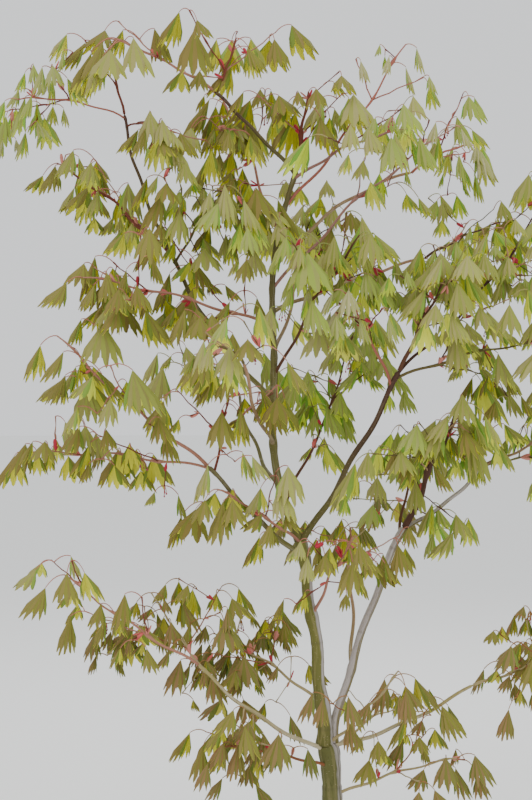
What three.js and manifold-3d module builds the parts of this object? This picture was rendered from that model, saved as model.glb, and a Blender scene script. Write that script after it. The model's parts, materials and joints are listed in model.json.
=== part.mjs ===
// A young Japanese maple in its spring leaf: a short trunk that forks into two stems, a leader that
// runs on from the left one, the main boughs, and masses of drooping leaves on thin shoots.
// Millimetres, +Z up. The origin is the middle of the trunk's flat cut, at ground level. In the front
// view +X is to the right and +Y is away.
import * as THREE from 'three';
import { mergeVertices } from 'three/addons/utils/BufferGeometryUtils.js';
import Module from 'manifold-3d';

const wasm = await Module();
wasm.setup();

// Clear space between pieces that meet, how far a search for a neighbour looks, and what keeps the
// cuts and joins free of slivers
const GAP = 0.3;
const SEARCH = 1;
const SLIVER = 0.02;
const SHORTEST_EDGE = 0.003;
const TWIST_TRIES = 8;
const TWIST_STEP = 0.06;

// Trunk
const TRUNK_TIP = [-24, 0, 376];
const TRUNK_RADII = [17.5, 15];
const TRUNK_SIDES = 15;
const TRUNK_RINGS = 10;
const FLARE = 7;
const FLARE_HEIGHT = 22;
const FLARE_LOBES = 5;
const FLARE_LOBE_DEPTH = 0.22;
const FORK_SWELL = 2.2;
const FORK_SWELL_HEIGHT = 28;
const TRUNK_BOW = [3, 0, 0];
const TRUNK_WEAVE = 0.004;
const BURIED = 40;

// Limbs: how finely they are cut, how far they weave, and the collar at each foot
const RING_PITCH = 80;
const LIMB_WEAVE = 0.011;
const COLLAR = 0.22;
const TAPER_POWER = 0.85;
const STOUT_RADIUS = 7;
const STOUT_SIDES = 8;
const LIMB_SIDES = 5;

// Shoots inside a mass: three-sided, with a pair of twigs or leaves at each node
const SHOOT_SIDES = 3;
const STEM_RADII = [3.2, 2.7];
const TWIG_RADII = [2.7, 2.4];
const NODE_PITCH = 84;
const TWIG_LENGTH = 156;
const TWIG_SHRINK = 0.42;
const TWIG_MIN = 85;
const LEAF_PITCH = 84;
const LAST_PAIR = 0.9;
const TIP_PLACE = 0.985;
const SHOOT_WEAVE = 0.015;
const SHOOT_RING_PITCH = 85;
const FIRST_NODE = 0.4;
const TURN_PLAY = 0.3;
const TWIG_OUT = 0.8;
const TWIG_ONWARD = 0.6;
const TWIG_RISE = 0.16;

// A leaf hangs from its node like a half-closed umbrella: eight faces, folded on the midrib
const LEAF_LENGTH = 112;
const LEAF_HALF_WIDTH = 0.35;
const LEAF_FOLD = 0.11;
const LEAF_RIDGE = 0.07;
const LEAF_THICKNESS = 0.024;
const LEAF_SINK = 0.5;
// How far down the leaf each corner of the octahedron goes: root, bottom tip, lobes and ridge
const LEAF_PLACES = new Map([['0,1,0', 0], ['0,-1,0', 1], ['1,0,0', 0.7], ['0,0,1', 0.42]]);
const LEAF_ONWARD = 0.35;
const LEAF_SPREAD = [0.45, 1.05];
const LEAF_TURN_PLAY = 0.4;
const LEAF_TRIES = 4;
const LEAF_OVERLAP = 0.05;
const YOUNG_LEAF = 0.68;

// The space of a mass hangs below its stem, because the leaves do
const SPACE_DROP = 38;
const SPACE_HEIGHT = 0.86;

// The seeded die
const DIE_FACTOR = 16807;
const DIE_MODULUS = 2147483647;
const SEED_STEP = 104729;

// Colours
const BARK = { color: 0x7b7057, roughness: 0.85, metalness: 0 };
const GREY_BARK = { color: 0x8c8378, roughness: 0.85, metalness: 0 };
const LEAF = { color: 0x97954a, roughness: 0.7, metalness: 0 };

// Limbs, each from a place along its parent (0 at the parent's foot, 1 at its tip) to its own tip.
// The bow is how far the middle stands off the straight line.
const LIMBS = [
  { name: 'left_stem', on: 'trunk', at: 0.99, shift: [-5, 0, 0], tip: [-75, 0, 746], bow: [5, -6, 0],
    radii: [10.6, 8.2] },
  { name: 'right_stem', on: 'trunk', at: 0.99, shift: [8, 2, 0], tip: [120, 30, 765], bow: [-13, 8, 0],
    radii: [8, 6.4], finish: GREY_BARK },
  { name: 'leader', on: 'left_stem', at: 0.995, shift: [-2, 1, 0], tip: [-80, 20, 1425],
    bow: [-52, 6, -20], radii: [8.1, 4.4] },
  { name: 'right_bough', on: 'left_stem', at: 0.99, shift: [3, -2, 0], tip: [100, -80, 1052],
    bow: [4, -8, -6], radii: [6, 4.2] },
  { name: 'left_mid_bough', on: 'left_stem', at: 0.9, tip: [-242, -60, 882], bow: [2, -6, -10],
    radii: [5.4, 3.6] },
  { name: 'left_top_bough', on: 'leader', at: 0.4, tip: [-312, 50, 1268], bow: [-14, 10, -8],
    radii: [5, 3.6] },
  { name: 'left_top_end', on: 'left_top_bough', at: 0.99, tip: [-402, 60, 1535], bow: [-16, 4, 8],
    radii: [3.5, 2.6] },
  { name: 'upper_left_bough', on: 'leader', at: 0.99, shift: [-1, 0, 0], tip: [-230, -40, 1556],
    bow: [-6, -8, 8], radii: [3.9, 2.8] },
  { name: 'pale_right_bough', on: 'leader', at: 0.745, tip: [140, 105, 1432], bow: [-14, 10, 26],
    radii: [3.9, 2.7] },
  { name: 'long_right_bough', on: 'leader', at: 0.64, tip: [172, 165, 1275], bow: [-6, 12, 6],
    radii: [3.9, 2.7] },
  { name: 'far_right_bough', on: 'right_stem', at: 0.99, shift: [2, 0, 0], tip: [275, 60, 880],
    bow: [6, 6, -8], radii: [4.4, 3] },
  { name: 'low_right_bough', on: 'trunk', at: 0.97, tip: [236, -50, 488], bow: [0, -8, -12],
    radii: [4.2, 2.8] },
  { name: 'low_left_bough', on: 'trunk', at: 0.95, tip: [-258, -80, 530], bow: [-12, -10, -10],
    radii: [4.2, 2.8] },
  { name: 'back_low_bough', on: 'right_stem', at: 0.34, tip: [30, 265, 690], bow: [4, 20, -14],
    radii: [4, 2.8] },
  { name: 'back_mid_bough', on: 'leader', at: 0.16, tip: [-190, 270, 1010], bow: [-8, 20, -14],
    radii: [4.2, 2.8] },
  { name: 'back_high_bough', on: 'leader', at: 0.52, tip: [-70, 290, 1290], bow: [4, 24, -10],
    radii: [3.8, 2.7] },
  { name: 'front_mid_bough', on: 'leader', at: 0.28, tip: [-175, -225, 1062], bow: [-6, -20, -8],
    radii: [3.8, 2.7] },
];

// Masses of foliage: the seat of each stem, the stem's tip, how far up the stem is bare, and the
// reach of the mass's own space.
const MASSES = [
  { name: 'foliage_top_left_end', on: 'upper_left_bough', at: 1, tip: [-415, -90, 1640], bare: 0.42,
    bow: 10, reach: 190 },
  { name: 'foliage_top', on: 'upper_left_bough', at: 0.97, tip: [-190, -60, 1650], bare: 0.3,
    bow: -6, reach: 175 },
  { name: 'foliage_left_top', on: 'left_top_end', at: 1, tip: [-438, 60, 1655], bare: 0.2,
    bow: 6, reach: 160 },
  { name: 'foliage_left_far', on: 'left_top_end', at: 0.96, tip: [-590, -20, 1545], bare: 0.4,
    bow: 16, reach: 160, young: true },
  { name: 'foliage_left_side', on: 'left_top_bough', at: 1, tip: [-545, 160, 1460], bare: 0.16,
    bow: 12, reach: 190 },
  { name: 'foliage_left_upper', on: 'left_top_end', at: 0.9, tip: [-325, -50, 1490], bare: 0.2,
    bow: 8, reach: 160 },
  { name: 'foliage_left_inner', on: 'left_top_bough', at: 0.96, tip: [-205, -60, 1385], bare: 0.25,
    bow: 8, reach: 175 },
  { name: 'foliage_grey_shoot', on: 'leader', at: 0.84, tip: [-222, 130, 1580], bare: 0.45,
    bow: 10, reach: 180 },
  { name: 'foliage_centre_top', on: 'leader', at: 1, tip: [-60, -30, 1560], bare: 0.25,
    bow: 6, reach: 160 },
  { name: 'foliage_pink_shoot', on: 'leader', at: 0.975, tip: [100, -140, 1470], bare: 0.4,
    bow: 14, reach: 190 },
  { name: 'foliage_tall_shoot', on: 'leader', at: 0.9, tip: [128, 50, 1668], bare: 0.62,
    bow: -14, reach: 150, young: true },
  { name: 'foliage_pale_right', on: 'pale_right_bough', at: 1, tip: [262, 135, 1492], bare: 0.2,
    bow: 10, reach: 190 },
  { name: 'foliage_dark_right', on: 'leader', at: 0.7, tip: [172, -90, 1470], bare: 0.45,
    bow: 18, reach: 200 },
  { name: 'foliage_long_right', on: 'long_right_bough', at: 1, tip: [330, 205, 1350], bare: 0.2,
    bow: 8, reach: 190 },
  { name: 'foliage_steep_right', on: 'right_bough', at: 0.98, tip: [395, 10, 1388], bare: 0.5,
    bow: -26, reach: 205 },
  { name: 'foliage_right_node', on: 'right_bough', at: 1, tip: [178, -145, 1215], bare: 0.45,
    bow: 6, reach: 190 },
  { name: 'foliage_red_shoot', on: 'right_bough', at: 0.95, tip: [370, -110, 1105], bare: 0.16,
    bow: 12, reach: 220 },
  { name: 'foliage_up_left_shoot', on: 'right_bough', at: 0.91, tip: [-5, -190, 1185], bare: 0.4,
    bow: 12, reach: 175, young: true },
  { name: 'foliage_behind', on: 'leader', at: 0.1, tip: [45, 150, 1150], bare: 0.5,
    bow: -12, reach: 200 },
  { name: 'foliage_far_right', on: 'far_right_bough', at: 1, tip: [455, 20, 985], bare: 0.35,
    bow: -10, reach: 205 },
  { name: 'foliage_far_low', on: 'far_right_bough', at: 0.95, tip: [430, 110, 890], bare: 0.3,
    bow: 10, reach: 190 },
  { name: 'foliage_right_mid', on: 'right_stem', at: 1, tip: [200, -140, 1000], bare: 0.35,
    bow: -8, reach: 200 },
  { name: 'foliage_upright', on: 'right_stem', at: 0.96, tip: [150, 150, 955], bare: 0.4,
    bow: -8, reach: 180 },
  { name: 'foliage_left_mid_up', on: 'left_mid_bough', at: 0.94, tip: [-200, -110, 1040], bare: 0.3,
    bow: -6, reach: 175 },
  { name: 'foliage_left_mid_far', on: 'left_mid_bough', at: 1, tip: [-505, -140, 1115], bare: 0.42,
    bow: -8, reach: 205 },
  { name: 'foliage_left_level', on: 'left_mid_bough', at: 0.97, tip: [-590, 10, 900], bare: 0.18,
    bow: 12, reach: 240 },
  { name: 'foliage_left_mid_low', on: 'left_stem', at: 0.97, tip: [-225, -130, 845], bare: 0.28,
    bow: 8, reach: 180 },
  { name: 'foliage_left_outer', on: 'leader', at: 0.6, tip: [-465, -110, 1215], bare: 0.14,
    bow: 12, reach: 230 },
  { name: 'foliage_front', on: 'front_mid_bough', at: 1, tip: [-215, -330, 1085], bare: 0.15,
    bow: 8, reach: 190 },
  { name: 'foliage_front_right', on: 'leader', at: 0.47, tip: [25, -180, 1285], bare: 0.42,
    bow: 12, reach: 180 },
  { name: 'foliage_low_right', on: 'low_right_bough', at: 1, tip: [405, -60, 570], bare: 0.25,
    bow: -10, reach: 200 },
  { name: 'foliage_low_right_front', on: 'trunk', at: 0.985, tip: [90, -190, 540], bare: 0.3,
    bow: -8, reach: 190 },
  { name: 'foliage_low_left_end', on: 'low_left_bough', at: 1, tip: [-490, -150, 700], bare: 0.28,
    bow: -8, reach: 210 },
  { name: 'foliage_low_left', on: 'low_left_bough', at: 0.95, tip: [-335, 20, 628], bare: 0.2,
    bow: -6, reach: 180 },
  { name: 'foliage_low_olive', on: 'left_stem', at: 0.2, tip: [-225, 110, 550], bare: 0.36,
    bow: 8, reach: 180 },
  { name: 'foliage_low_back', on: 'trunk', at: 0.93, tip: [130, 190, 425], bare: 0.42,
    bow: 8, reach: 190 },
  { name: 'foliage_foot_left', on: 'trunk', at: 0.88, tip: [-215, -150, 400], bare: 0.35,
    bow: 8, reach: 190 },
  { name: 'foliage_foot_right', on: 'trunk', at: 0.75, tip: [205, -90, 365], bare: 0.4,
    bow: 10, reach: 190 },
  { name: 'foliage_stem_front', on: 'left_stem', at: 0.62, tip: [15, -150, 765], bare: 0.45,
    bow: 6, reach: 160 },
  { name: 'foliage_back_low', on: 'back_low_bough', at: 1, tip: [40, 370, 735], bare: 0.1,
    bow: 8, reach: 210 },
  { name: 'foliage_back_mid', on: 'back_mid_bough', at: 1, tip: [-255, 360, 1075], bare: 0.1,
    bow: 8, reach: 220 },
  { name: 'foliage_back_high', on: 'back_high_bough', at: 1, tip: [-45, 375, 1370], bare: 0.1,
    bow: 8, reach: 210 },
];

const UP = new THREE.Vector3(0, 0, 1);

// A seeded die: each call gives the next number between low and high
function dice(seed) {
  let state = (seed * SEED_STEP) % DIE_MODULUS;
  return (low, high) => {
    state = (state * DIE_FACTOR) % DIE_MODULUS;
    return low + (high - low) * (state / DIE_MODULUS);
  };
}

// The middle line of a limb or shoot: an arc from foot to tip that weaves a little from node to node
class LimbCurve extends THREE.Curve {
  constructor(foot, tip, bow, weave) {
    super();
    this.foot = foot;
    this.tip = tip;
    this.crown = foot.clone().add(tip).multiplyScalar(0.5).addScaledVector(bow, 2);
    const line = tip.clone().sub(foot);
    const flat = Math.hypot(line.x, line.y);
    this.aside = flat > 1 ? new THREE.Vector3(-line.y, line.x, 0) : new THREE.Vector3(1, 0, 0);
    this.aside.normalize();
    this.across = line.clone().cross(this.aside).normalize();
    this.sway = weave * line.length();
  }

  getPoint(t, target = new THREE.Vector3()) {
    const rest = 1 - t;
    target.copy(this.foot).multiplyScalar(rest * rest);
    target.addScaledVector(this.crown, 2 * t * rest);
    target.addScaledVector(this.tip, t * t);
    target.addScaledVector(this.aside, this.sway * Math.sin(3 * Math.PI * t));
    return target.addScaledVector(this.across, 0.6 * this.sway * Math.sin(5 * Math.PI * t));
  }
}

// A closed geometry as a solid
function toSolid(geometry) {
  geometry.deleteAttribute('normal');
  geometry.deleteAttribute('uv');
  const merged = mergeVertices(geometry);
  return new wasm.Manifold(new wasm.Mesh({
    numProp: 3,
    vertProperties: new Float32Array(merged.attributes.position.array),
    triVerts: new Uint32Array(merged.index.array),
  }));
}

// A solid as a geometry with flat faces
function toGeometry(solid) {
  const mesh = solid.getMesh();
  const geometry = new THREE.BufferGeometry();
  geometry.setAttribute('position', new THREE.BufferAttribute(new Float32Array(mesh.vertProperties), 3));
  geometry.setIndex(new THREE.BufferAttribute(new Uint32Array(mesh.triVerts), 1));
  geometry.computeVertexNormals();
  return geometry;
}

// A closed tube along a curve. radiusAt(t, angle) gives its radius, twist turns its flats about the
// curve, and grow thickens and lengthens it on all sides for the clear space round it.
function tubeSolid({ curve, radiusAt, sides, rings, twist = 0 }, grow = 0) {
  const corners = [];
  for (let side = 0; side < sides; side += 1) {
    const angle = (2 * Math.PI * side) / sides;
    corners.push(new THREE.Vector2(Math.cos(angle), Math.sin(angle)));
  }
  const geometry = new THREE.ExtrudeGeometry(new THREE.Shape(corners), {
    depth: 1, steps: rings, bevelEnabled: false,
  });
  const frames = curve.computeFrenetFrames(rings, false);
  const thicken = grow / Math.cos(Math.PI / sides);
  const position = geometry.attributes.position;
  const point = new THREE.Vector3();
  for (let index = 0; index < position.count; index += 1) {
    const ring = Math.round(position.getZ(index) * rings);
    const angle = Math.atan2(position.getY(index), position.getX(index));
    const radius = radiusAt(ring / rings, angle) + thicken;
    curve.getPoint(ring / rings, point);
    point.addScaledVector(frames.normals[ring], radius * Math.cos(angle + twist));
    point.addScaledVector(frames.binormals[ring], radius * Math.sin(angle + twist));
    if (ring === 0) point.addScaledVector(frames.tangents[0], -grow);
    if (ring === rings) point.addScaledVector(frames.tangents[rings], grow);
    position.setXYZ(index, point.x, point.y, point.z);
  }
  return toSolid(geometry);
}

// The largest separate body of a solid: scraps and sealed hollows are dropped
function largestBody(solid) {
  const bodies = solid.decompose();
  return bodies.reduce((best, body) => (body.volume() > best.volume() ? body : best));
}

// Two bounding boxes that come within the gap of each other
function boxesMeet(first, second) {
  return [0, 1, 2].every((axis) => (
    first.min[axis] - GAP < second.max[axis] && second.min[axis] - GAP < first.max[axis]));
}

// One piece of wood or one leaf with its bounding box
function boxed(solid) {
  return { solid, box: solid.boundingBox() };
}

function touches(piece, others) {
  return others.some((other) => (
    boxesMeet(piece.box, other.box) && piece.solid.minGap(other.solid, SEARCH) < GAP));
}

// The middle of an edge too short to keep, or null where all are long enough
function tooShortEdge(solid) {
  const { vertProperties, triVerts } = solid.getMesh();
  const corner = (index) => new THREE.Vector3().fromArray(vertProperties, 3 * triVerts[index]);
  for (let index = 0; index < triVerts.length; index += 1) {
    const next = index % 3 === 2 ? index - 2 : index + 1;
    const start = corner(index);
    if (start.distanceTo(corner(next)) < SHORTEST_EDGE) return start;
  }
  return null;
}

// What is made of a tube, which is twisted on until no edge of it is too short to keep
function twistedClean(tube, make) {
  let made = null;
  for (let turn = 0; turn < TWIST_TRIES; turn += 1) {
    tube.twist = turn * TWIST_STEP;
    made = make(boxed(tubeSolid(tube)));
    if (!tooShortEdge(made)) break;
  }
  return made;
}

// A tube less every grown neighbour that it meets
function cutClear(tube, grownNeighbours) {
  return twistedClean(tube, (whole) => {
    const cut = grownNeighbours
      .filter((neighbour) => boxesMeet(whole.box, neighbour.box))
      .reduce((left, neighbour) => left.subtract(neighbour.solid), whole.solid);
    return largestBody(cut);
  });
}

// Trunk: tapering and leaning, with root flare in lobes, and cut flat at ground level
function makeTrunk() {
  const tip = new THREE.Vector3(...TRUNK_TIP);
  const foot = new THREE.Vector3(-tip.x * (BURIED / tip.z), 0, -BURIED);
  const curve = new LimbCurve(foot, tip, new THREE.Vector3(...TRUNK_BOW), TRUNK_WEAVE);
  const length = foot.distanceTo(tip);
  const radiusAt = (t, angle) => {
    const height = Math.max(0, t * length - BURIED);
    const fromFork = (length * (1 - t)) / FORK_SWELL_HEIGHT;
    const plain = THREE.MathUtils.lerp(TRUNK_RADII[0], TRUNK_RADII[1], height / tip.z);
    const lobes = 1 + FLARE_LOBE_DEPTH * Math.cos(FLARE_LOBES * angle);
    const flare = FLARE * lobes * Math.exp(-height / FLARE_HEIGHT);
    return plain + flare + FORK_SWELL * Math.exp(-fromFork * fromFork);
  };
  const soil = new THREE.BoxGeometry(400, 400, 200);
  soil.translate(0, 0, -100);
  const ground = toSolid(soil);
  return { curve, radiusAt, sides: TRUNK_SIDES, rings: TRUNK_RINGS, ground };
}

// A limb's curve and its radius along it
function makeLimb({ foot, tip, bow, radii }) {
  const curve = new LimbCurve(foot, new THREE.Vector3(...tip), new THREE.Vector3(...bow), LIMB_WEAVE);
  const length = foot.distanceTo(curve.tip);
  const stout = Math.max(...radii) > STOUT_RADIUS;
  const radiusAt = (t) => {
    const collar = COLLAR * radii[0] * Math.exp((-t * length) / (2.5 * radii[0]));
    return radii[0] + (radii[1] - radii[0]) * t ** TAPER_POWER + collar;
  };
  const rings = Math.max(4, Math.round(length / RING_PITCH));
  return { curve, radiusAt, sides: stout ? STOUT_SIDES : LIMB_SIDES, rings };
}

// A shoot is a thin limb. Its nodes lie on the straight steps that its tube is cut in, so that what
// grows there is rooted in the middle of it.
class Shoot {
  constructor(foot, tip, bow, radii) {
    this.curve = new LimbCurve(foot, tip, bow, SHOOT_WEAVE);
    this.radiusAt = (t) => THREE.MathUtils.lerp(radii[0], radii[1], t);
    this.length = foot.distanceTo(tip);
    this.sides = SHOOT_SIDES;
    this.rings = Math.max(1, Math.floor(this.length / SHOOT_RING_PITCH));
  }

  pointAt(t) {
    const step = Math.min(Math.floor(t * this.rings), this.rings - 1);
    const start = this.curve.getPoint(step / this.rings);
    const end = this.curve.getPoint((step + 1) / this.rings);
    return start.lerp(end, t * this.rings - step);
  }

  tangentAt(t) {
    return this.curve.getTangent(t);
  }
}

// The place where a limb or stem starts on its parent's middle line
function seatOf(limbs, { on, at, shift = [0, 0, 0] }) {
  return limbs.get(on).curve.getPoint(at).add(new THREE.Vector3(...shift));
}

// Two directions square to a line, the first level
function squareTo(line) {
  const flat = Math.hypot(line.x, line.y);
  const aside = flat > 0.05 ? new THREE.Vector3(-line.y, line.x, 0) : new THREE.Vector3(1, 0, 0);
  aside.normalize();
  return [aside, aside.clone().cross(line).normalize()];
}

// A pair of opposite directions at a node, turned about the shoot
function pairAt(tangent, turn) {
  const [aside, across] = squareTo(tangent);
  const out = aside.multiplyScalar(Math.cos(turn)).addScaledVector(across, Math.sin(turn));
  return [out, out.clone().negate()];
}

// One leaf at a node: it leans out to its side of the shoot and hangs. Each try turns it a little.
function leafAt(shoot, t, out, roll, size) {
  const lean = out.clone().addScaledVector(shoot.tangentAt(t), LEAF_ONWARD);
  const upright = Math.hypot(lean.x, lean.y) < 0.15;
  const bearing = upright ? roll(-Math.PI, Math.PI) : Math.atan2(lean.y, lean.x);
  const length = LEAF_LENGTH * size * roll(0.8, 1.14);
  const tries = [];
  for (let attempt = 0; attempt < LEAF_TRIES; attempt += 1) {
    const turn = roll(-LEAF_TURN_PLAY, LEAF_TURN_PLAY) * (1 + attempt);
    tries.push({ bearing: bearing + turn, spread: roll(...LEAF_SPREAD) });
  }
  return { shoot, node: shoot.pointAt(t), length, tries };
}

function leafPair(shoot, t, turn, roll, size) {
  return pairAt(shoot.tangentAt(t), turn).map((out) => leafAt(shoot, t, out, roll, size));
}

// The last leaf of a shoot, straight on from its tip
function tipLeaf(shoot, roll, size) {
  return leafAt(shoot, TIP_PLACE, shoot.tangentAt(TIP_PLACE), roll, size);
}

// Growth rule of a side twig: pairs of leaves at even steps, quarter-turned from node to node, and a
// single leaf at the tip
function growTwig(twig, roll, size) {
  const nodes = Math.max(1, Math.round(twig.length / LEAF_PITCH));
  const start = roll(-0.5, 0.5);
  const leaves = [];
  for (let node = 1; node <= nodes; node += 1) {
    leaves.push(...leafPair(twig, (LAST_PAIR * node) / nodes, start + (node * Math.PI) / 2, roll, size));
  }
  leaves.push(tipLeaf(twig, roll, size));
  return leaves;
}

// A side twig from a node of the stem: it sets out to its side and rises a little
function twigAt(stem, t, out, roll) {
  const length = Math.max(TWIG_MIN, TWIG_LENGTH * (1 - TWIG_SHRINK * t) * roll(0.75, 1.2));
  const along = out.clone().multiplyScalar(TWIG_OUT).addScaledVector(stem.tangentAt(t), TWIG_ONWARD);
  const foot = stem.pointAt(t);
  const tip = foot.clone().addScaledVector(along.addScaledVector(UP, TWIG_RISE).normalize(), length);
  return new Shoot(foot, tip, new THREE.Vector3(), TWIG_RADII);
}

// Growth rule of a mass: from the bare foot of its stem on, nodes at even steps carry pairs of twigs
// and pairs of leaves by turns, and the tip carries a pair and a single leaf
function growMass(mass, foot, seed) {
  const roll = dice(seed);
  const size = mass.young ? YOUNG_LEAF : 1;
  const bow = UP.clone().multiplyScalar(mass.bow);
  const stem = new Shoot(foot, new THREE.Vector3(...mass.tip), bow, STEM_RADII);
  const leafy = 1 - mass.bare;
  const nodes = Math.max(2, Math.round((stem.length * leafy) / NODE_PITCH));
  const start = roll(-0.4, 0.4);
  const twigs = [];
  const leaves = [];
  for (let node = 0; node < nodes; node += 1) {
    const t = mass.bare + (leafy * (node + FIRST_NODE)) / nodes;
    const turn = start + (node * Math.PI) / 2 + roll(-TURN_PLAY, TURN_PLAY);
    if (node % 2 === 1) {
      leaves.push(...leafPair(stem, t, turn, roll, size));
      continue;
    }
    for (const out of pairAt(stem.tangentAt(t), turn)) {
      const twig = twigAt(stem, t, out, roll);
      twigs.push({ twig, leaves: growTwig(twig, roll, size) });
    }
  }
  leaves.push(...leafPair(stem, LAST_PAIR, start + 0.8, roll, size), tipLeaf(stem, roll, size));
  const middle = stem.pointAt(0.5 + 0.5 * mass.bare);
  middle.z -= SPACE_DROP;
  return { stem, twigs, leaves, middle, reach: mass.reach };
}

// A leaf from an octahedron: root and bottom tip, two side lobes folded back, and the ridge in front
// and behind. Its root is sunk in the shoot.
function leafSolid({ node, length }, { bearing, spread }) {
  const level = new THREE.Vector3(Math.cos(bearing), Math.sin(bearing), 0);
  const down = level.clone().multiplyScalar(spread).sub(UP).normalize();
  const across = UP.clone().cross(level).normalize();
  const face = across.clone().cross(down).negate();
  const geometry = new THREE.OctahedronGeometry(1);
  const position = geometry.attributes.position;
  const point = new THREE.Vector3();
  for (let index = 0; index < position.count; index += 1) {
    const x = Math.round(position.getX(index));
    const y = Math.round(position.getY(index));
    const z = Math.round(position.getZ(index));
    const along = LEAF_PLACES.get(`${Math.abs(x)},${y},${Math.abs(z)}`);
    const front = z === 0 ? 0 : LEAF_RIDGE - (z < 0 ? LEAF_THICKNESS : 0);
    point.copy(node).addScaledVector(down, along * length - LEAF_SINK);
    point.addScaledVector(across, x * LEAF_HALF_WIDTH * length);
    point.addScaledVector(face, (front - Math.abs(x) * LEAF_FOLD) * length);
    position.setXYZ(index, point.x, point.y, point.z);
  }
  return toSolid(geometry);
}

// True when all of a solid lies in the mass's own space
function inSpace(solid, { middle, reach }) {
  const { vertProperties } = solid.getMesh();
  for (let index = 0; index < vertProperties.length; index += 3) {
    const x = (vertProperties[index] - middle.x) / reach;
    const y = (vertProperties[index + 1] - middle.y) / reach;
    const z = (vertProperties[index + 2] - middle.z) / (reach * SPACE_HEIGHT);
    if (x * x + y * y + z * z > 1) return false;
  }
  return true;
}

function toMesh(name, solid, finish) {
  const mesh = new THREE.Mesh(toGeometry(solid), new THREE.MeshStandardMaterial(finish));
  mesh.name = name;
  return mesh;
}

function buildWood(group) {
  const limbs = new Map();
  const solids = [];
  const grown = [];
  const add = (name, limb, finish) => {
    let solid = cutClear(limb, grown);
    if (limb.ground) solid = solid.subtract(limb.ground);
    limbs.set(name, limb);
    solids.push(boxed(solid));
    grown.push(boxed(tubeSolid(limb, GAP)));
    group.add(toMesh(name, solid, finish));
  };
  add('trunk', makeTrunk(), BARK);
  for (const row of LIMBS) {
    add(row.name, makeLimb({ ...row, foot: seatOf(limbs, row) }), row.finish ?? BARK);
  }
  return { limbs, solids, grown };
}

// Within a mass a leaf may meet the shoot that it grows on, and other leaves at their roots, but it
// crosses nothing
function crosses(leaf, others) {
  return others.some((other) => (
    boxesMeet(leaf.box, other.box) && leaf.solid.intersect(other.solid).volume() > LEAF_OVERLAP));
}

// The first try of a leaf that finds room
function placeLeaf(mass, leaf, others) {
  const own = mass.pieces.filter((piece) => piece.shoot !== leaf.shoot);
  for (const attempt of leaf.tries) {
    const piece = boxed(leafSolid(leaf, attempt));
    if (inSpace(piece.solid, mass) && !touches(piece, others) && !crosses(piece, own)) return piece;
  }
  return null;
}

// All pieces of a mass as one body. A leaf that makes an edge too short to keep is dropped, or else
// the twig, whose leaves are then loose scraps.
function joinMass(pieces) {
  const whole = largestBody(wasm.Manifold.union(pieces.map((piece) => piece.solid))).simplify(SLIVER);
  const fault = tooShortEdge(whole);
  if (!fault) return whole;
  const holds = ({ box }) => fault.toArray().every((value, axis) => (
    box.min[axis] - GAP < value && value < box.max[axis] + GAP));
  const culprit = pieces.findLast((piece) => piece !== pieces[0] && holds(piece));
  return culprit ? joinMass(pieces.filter((piece) => piece !== culprit)) : whole;
}

function buildFoliage(group, wood) {
  const masses = MASSES.map((mass, index) => (
    { name: mass.name, ...growMass(mass, seatOf(wood.limbs, mass), index + 1), pieces: [] }));
  const othersOf = (mass) => [
    ...wood.solids, ...masses.filter((other) => other !== mass).flatMap((other) => other.pieces)];
  // Stems first, each cut clear of the limbs and of the stems before it
  const grown = [...wood.grown];
  for (const mass of masses) {
    mass.pieces.push({ ...boxed(cutClear(mass.stem, grown)), shoot: mass.stem });
    grown.push(boxed(tubeSolid(mass.stem, GAP)));
  }
  // Then the twigs
  for (const mass of masses) {
    const others = othersOf(mass);
    for (const { twig, leaves } of mass.twigs) {
      twistedClean(twig, ({ solid }) => mass.pieces[0].solid.add(solid));
      const piece = { ...boxed(tubeSolid(twig)), shoot: twig };
      if (!inSpace(piece.solid, mass) || touches(piece, others)) continue;
      mass.pieces.push(piece);
      mass.leaves.push(...leaves);
    }
  }
  // Last the leaves of the stem and of the twigs that found room
  for (const mass of masses) {
    const others = othersOf(mass);
    for (const leaf of mass.leaves) {
      const piece = placeLeaf(mass, leaf, others);
      if (piece) mass.pieces.push(piece);
    }
    group.add(toMesh(mass.name, joinMass(mass.pieces), LEAF));
  }
}

const tree = new THREE.Group();
const wood = buildWood(tree);
buildFoliage(tree, wood);

export default tree;
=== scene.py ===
"""A young full-moon maple in its spring leaf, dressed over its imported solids.

Metres, +Z up. The origin is the middle of the trunk's flat cut, at ground level. In the front view +X
is to the right and +Y is away. The limbs and the masses of foliage stand on the same rows, and grow by
the same seeded rule, as the solids do. Inside each mass the rule is carried on to spurs, leaf stalks,
drooping leaves, bud scales and a few closed flowers.
"""

import json
import logging
import math
from collections.abc import Callable, Sequence
from dataclasses import dataclass
from enum import Enum
from functools import cache

import bmesh
import bpy
import numpy as np
from mathutils import Matrix, Vector, kdtree, noise

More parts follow.
